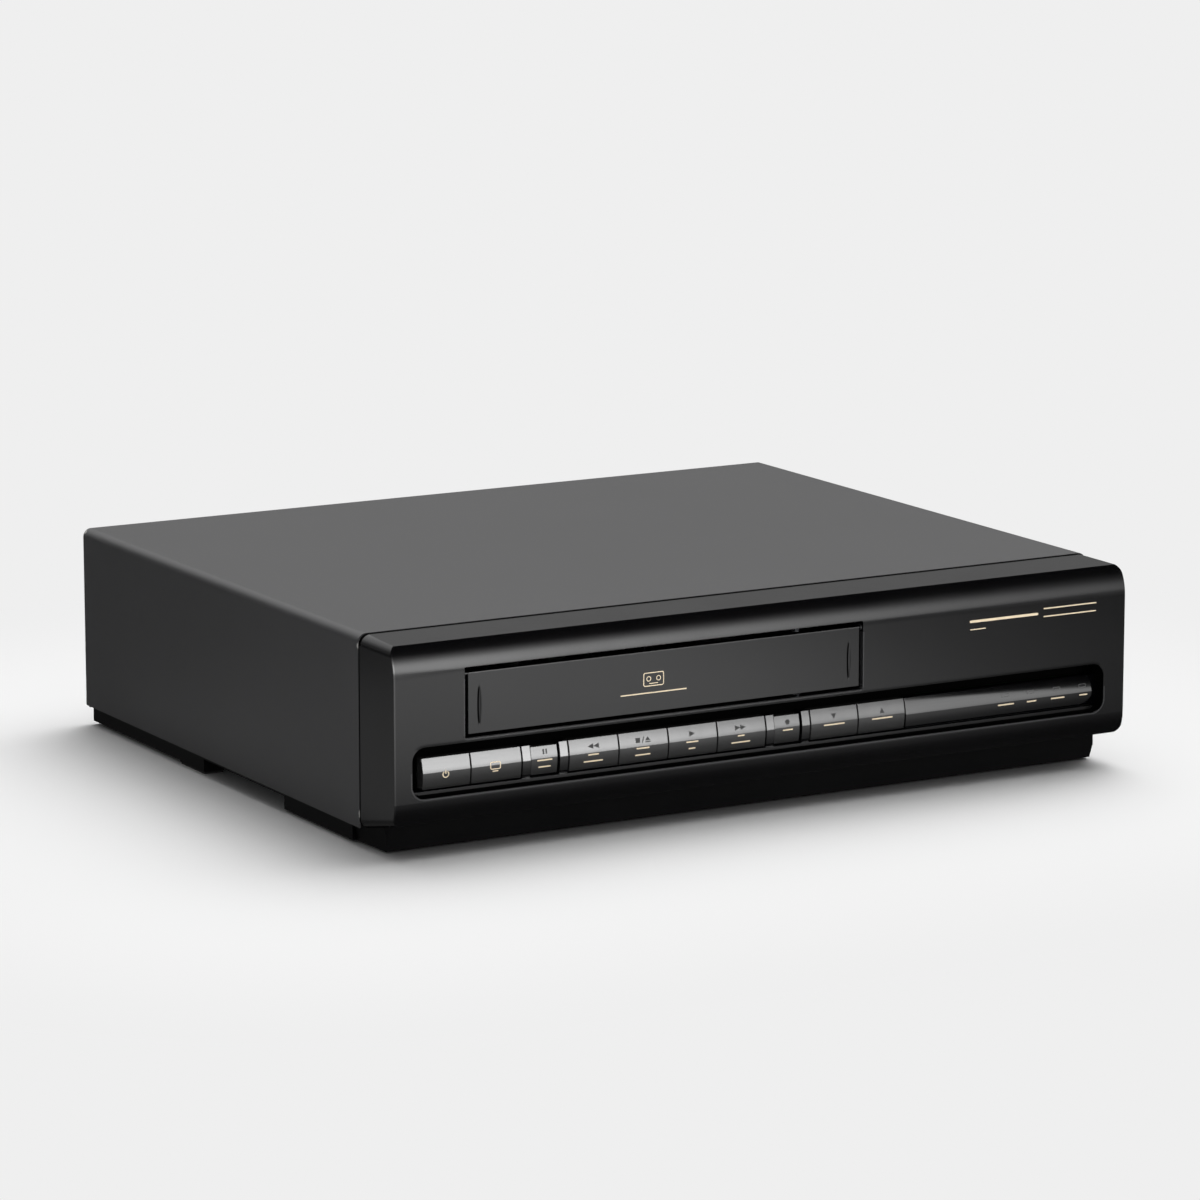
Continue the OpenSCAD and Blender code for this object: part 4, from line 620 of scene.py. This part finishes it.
def studio_world():
    """The room: white to the camera, a plain fill for matt surfaces, and for gloss black but for
    a pale wall behind, which the top mirrors at a low angle."""
    world = bpy.data.worlds.new("studio")
    scene.world = world
    world.use_nodes = True
    tree = world.node_tree
    tree.nodes.clear()
    aim = add(tree, "ShaderNodeTexCoord").outputs["Generated"]
    turn, rise = bearings(tree, aim)
    round_back = add(tree, "ShaderNodeMath", {0: turn}, operation="ABSOLUTE")
    round_back = add(tree, "ShaderNodeMapRange", {"Value": round_back, "From Min": 100,
                                                  "From Max": 130},
                     interpolation_type="SMOOTHSTEP")
    wall = levels(tree, rise, [(-10, 0.0), (0, 0.15), (12, 0.2), (17, 0.4), (25, 1.45),
                               (50, 1.3), (80, 0.0)])
    gloss = add(tree, "ShaderNodeMath", {0: round_back, 1: wall, 2: 0.001},
                operation="MULTIPLY_ADD")

    # the fill leans to the back right, so the shadow on the floor runs to the front left
    lean = add(tree, "ShaderNodeVectorMath", {0: aim, 1: FILL_TOWARD},
               operation="DOT_PRODUCT").outputs["Value"]
    lobe = add(tree, "ShaderNodeMath", {0: lean, 1: 0.0}, operation="MAXIMUM")
    lobe = add(tree, "ShaderNodeMath", {0: lobe, 1: 8.0}, operation="POWER")
    matt = add(tree, "ShaderNodeMath", {0: lobe, 1: 5.2, 2: 0.16}, operation="MULTIPLY_ADD")

    rays = add(tree, "ShaderNodeLightPath").outputs
    fill = add(tree, "ShaderNodeBackground", {"Color": linear("#ffffff"), "Strength": matt})
    mirror = add(tree, "ShaderNodeBackground", {"Color": linear("#ffffff"), "Strength": gloss})
    white = add(tree, "ShaderNodeBackground", {"Color": linear(BACKGROUND), "Strength": 1.0})
    room = add(tree, "ShaderNodeMixShader", {0: rays["Is Glossy Ray"], 1: fill, 2: mirror})
    straight = add(tree, "ShaderNodeMath", {0: rays["Is Camera Ray"],
                                            1: rays["Is Transmission Ray"]}, operation="MAXIMUM")
    room = add(tree, "ShaderNodeMixShader", {0: straight, 1: room, 2: white})
    add(tree, "ShaderNodeOutputWorld", {"Surface": room})
    world.cycles.sampling_method = "NONE"


def leave_out(lamp, thing, link="receiver_collection"):
    """The lamp lights everything but this, or casts no shadow of it."""
    spared = bpy.data.collections.new(f"{lamp.name}_{thing.name}")
    spared.objects.link(thing)
    spared.collection_objects[0].light_linking.link_state = "EXCLUDE"
    setattr(lamp.light_linking, link, spared)


def long_panel():
    """The long soft panel far in front, which the keys, the brow and the window mirror: brighter
    to the left, and cut off at the right by a low uneven edge. Only gloss sees it."""
    data = bpy.data.lights.new("long_panel", "AREA")
    data.shape = "RECTANGLE"
    data.size, data.size_y = 30.0, 14.5
    data.energy = math.pi * data.size * data.size_y
    data.use_nodes = True
    tree = data.node_tree
    tree.nodes.clear()
    at = add(tree, "ShaderNodeNewGeometry").outputs["Position"]
    aim = add(tree, "ShaderNodeVectorMath", {0: at}, operation="NORMALIZE")
    turn, rise = bearings(tree, aim)

    # the upper edge: high at the left, low, ragged and sharper at the right
    ragged = add(tree, "ShaderNodeTexNoise", {"W": turn, "Scale": 3.3, "Detail": 2.0,
                                              "Roughness": 0.6}, noise_dimensions="1D")
    ragged = add(tree, "ShaderNodeMath", {0: ragged, 1: 0.5}, operation="SUBTRACT")
    cut = levels(tree, turn, [(20, 33), (33.95, 33), (34.35, 14), (34.6, 7.0), (35.2, 5.0),
                              (36.5, 4.0), (44, 3.0)])
    cut = add(tree, "ShaderNodeMath", {0: ragged, 1: 6.0, 2: cut}, operation="MULTIPLY_ADD")
    soft = levels(tree, turn, [(20, 20), (33.5, 16), (34.4, 2.0), (44, 1.0)])
    full = add(tree, "ShaderNodeMath", {0: cut, 1: soft}, operation="SUBTRACT")
    upper = add(tree, "ShaderNodeMapRange", {"Value": rise, "From Min": cut, "From Max": full},
                interpolation_type="SMOOTHSTEP")
    lower = add(tree, "ShaderNodeMapRange", {"Value": rise, "From Min": -1, "From Max": 5},
                interpolation_type="SMOOTHSTEP")
    cloudy = add(tree, "ShaderNodeTexNoise", {"Vector": aim, "Scale": 16.0, "Detail": 4.0})
    cloudy = add(tree, "ShaderNodeMapRange", {"Value": cloudy, "From Min": 0.2, "From Max": 0.8,
                                              "To Min": 0.9, "To Max": 1.1},
                 interpolation_type="SMOOTHSTEP")
    bright = levels(tree, turn, [
        (6, 0), (12, 14), (28.2, 14.2), (29.3, 14.5), (29.7, 10.2), (30.3, 7.3), (31.3, 7.1),
        (32.3, 4.8), (32.9, 4.3), (33.9, 4.2), (35.5, 3.4), (37.5, 0.6), (44, 0.0)])
    for part in (upper, lower, cloudy):
        bright = add(tree, "ShaderNodeMath", {0: bright, 1: part}, operation="MULTIPLY")
    glow = add(tree, "ShaderNodeEmission", {"Color": linear("#ffffff"), "Strength": bright})
    add(tree, "ShaderNodeOutputLight", {"Surface": glow})
    lamp = bpy.data.objects.new("long_panel", data)
    lamp.location = (1.2, -20.0, 6.3)
    lamp.rotation_euler = (math.radians(90), 0, 0)
    lamp.visible_camera = False
    lamp.visible_diffuse = False
    lamp.visible_transmission = False
    scene.collection.objects.link(lamp)
    leave_out(lamp, nodes["top_cover"])


def studio_floor():
    """A white sweep: matt near the recorder, where it takes the shadow, and plain white beyond."""
    mesh = bpy.data.meshes.new("studio_floor")
    grid = bmesh.new()
    bmesh.ops.create_grid(grid, x_segments=1, y_segments=1, size=6)
    grid.to_mesh(mesh)
    grid.free()
    floor = bpy.data.objects.new("studio_floor", mesh)
    scene.collection.objects.link(floor)
    material = bpy.data.materials.new("white_paper")
    material.use_nodes = True
    tree = material.node_tree
    tree.nodes.clear()
    at = add(tree, "ShaderNodeTexCoord").outputs["Object"]
    across, along, _ = add(tree, "ShaderNodeSeparateXYZ", {"Vector": at}).outputs
    paper = add(tree, "ShaderNodeBsdfDiffuse", {"Color": linear("#eeeeee")})
    plain_white = add(tree, "ShaderNodeEmission", {"Color": linear(BACKGROUND)})

    # the shadow reaches farther on the left, so the paper does too
    (left, front, _), (right, back, _) = cad_box
    away = way_outside(tree, [(across, left - 0.035, right), (along, front, back)])
    far = add(tree, "ShaderNodeMapRange", {"Value": away, "From Min": 0.05, "From Max": 0.30},
              interpolation_type="SMOOTHSTEP")

    # what gloss sees of the floor, as a glow: a painted contact shadow, dark in front, then white
    # that fades to the right
    ahead = levels(tree, along, [(-0.7, 2.9), (-0.5, 2.8), (-0.42, 2.4), (-0.34, 1.8),
                                 (-0.29, 1.0), (-0.25, 0.4), (-0.22, 0.14), (-0.2, 0.08)])
    fade = levels(tree, across, [(-0.6, 0.6), (-0.04, 1.1), (0.12, 1.2), (0.2, 0.9), (0.27, 0.55),
                                 (0.34, 0.36), (0.42, 0.25), (0.5, 0.12), (0.8, 0.05)])
    ahead = add(tree, "ShaderNodeMath", {0: ahead, 1: fade}, operation="MULTIPLY")
    beside = levels(tree, along, [(-0.3, 0.3), (-0.2, 0.27), (0.18, 0.24), (0.26, 0.11),
                                  (0.5, 0.03)])
    fade = add(tree, "ShaderNodeMapRange", {"Value": across, "From Min": -0.217,
                                            "From Max": -0.26}, interpolation_type="SMOOTHSTEP")
    beside = add(tree, "ShaderNodeMath", {0: beside, 1: fade}, operation="MULTIPLY")
    mirrored = add(tree, "ShaderNodeMath", {0: ahead, 1: beside}, operation="MAXIMUM")
    mirrored = add(tree, "ShaderNodeEmission", {"Color": linear("#ffffff"), "Strength": mirrored})

    rays = add(tree, "ShaderNodeLightPath").outputs
    blend = add(tree, "ShaderNodeMath", {0: far, 1: rays["Is Camera Ray"]}, operation="MULTIPLY")
    surface = add(tree, "ShaderNodeMixShader", {0: blend, 1: paper, 2: plain_white})
    surface = add(tree, "ShaderNodeMixShader", {0: rays["Is Glossy Ray"], 1: surface, 2: mirrored})
    add(tree, "ShaderNodeOutputMaterial", {"Surface": surface})
    mesh.materials.append(material)
    return floor


def black_flag():
    """A low black card on edge over the brow, seen by gloss alone: it keeps the long panel's
    glare off the flat top."""
    card = bmesh.new()
    bmesh.ops.create_cube(card, size=1.0)
    bmesh.ops.scale(card, vec=(0.5, 0.0005, 0.024), verts=card.verts[:])
    bmesh.ops.translate(card, vec=(0.0, -0.1775, 0.1205), verts=card.verts[:])
    mesh = bpy.data.meshes.new("black_flag")
    card.to_mesh(mesh)
    card.free()
    mesh.materials.append(rubber("black_card"))
    flag = bpy.data.objects.new("black_flag", mesh)
    scene.collection.objects.link(flag)
    flag.visible_camera = False
    flag.visible_diffuse = False
    flag.visible_transmission = False
    return flag


def front_fill(floor, flag):
    """A wide plain light from the camera's side for the recorder alone, unseen by gloss."""
    data = bpy.data.lights.new("front_fill", "AREA")
    data.shape = "RECTANGLE"
    data.size, data.size_y = 1.6, 1.2
    data.energy = 34
    lamp = bpy.data.objects.new("front_fill", data)
    lamp.location = (-0.9, -2.0, 1.1)
    lamp.visible_glossy = False
    lamp.visible_transmission = False
    scene.collection.objects.link(lamp)
    toward = Vector((0, 0, 0.05)) - lamp.location
    lamp.rotation_euler = toward.to_track_quat("-Z", "Y").to_euler()
    leave_out(lamp, floor)
    leave_out(lamp, flag, "blocker_collection")


studio_world()
long_panel()
front_fill(studio_floor(), black_flag())
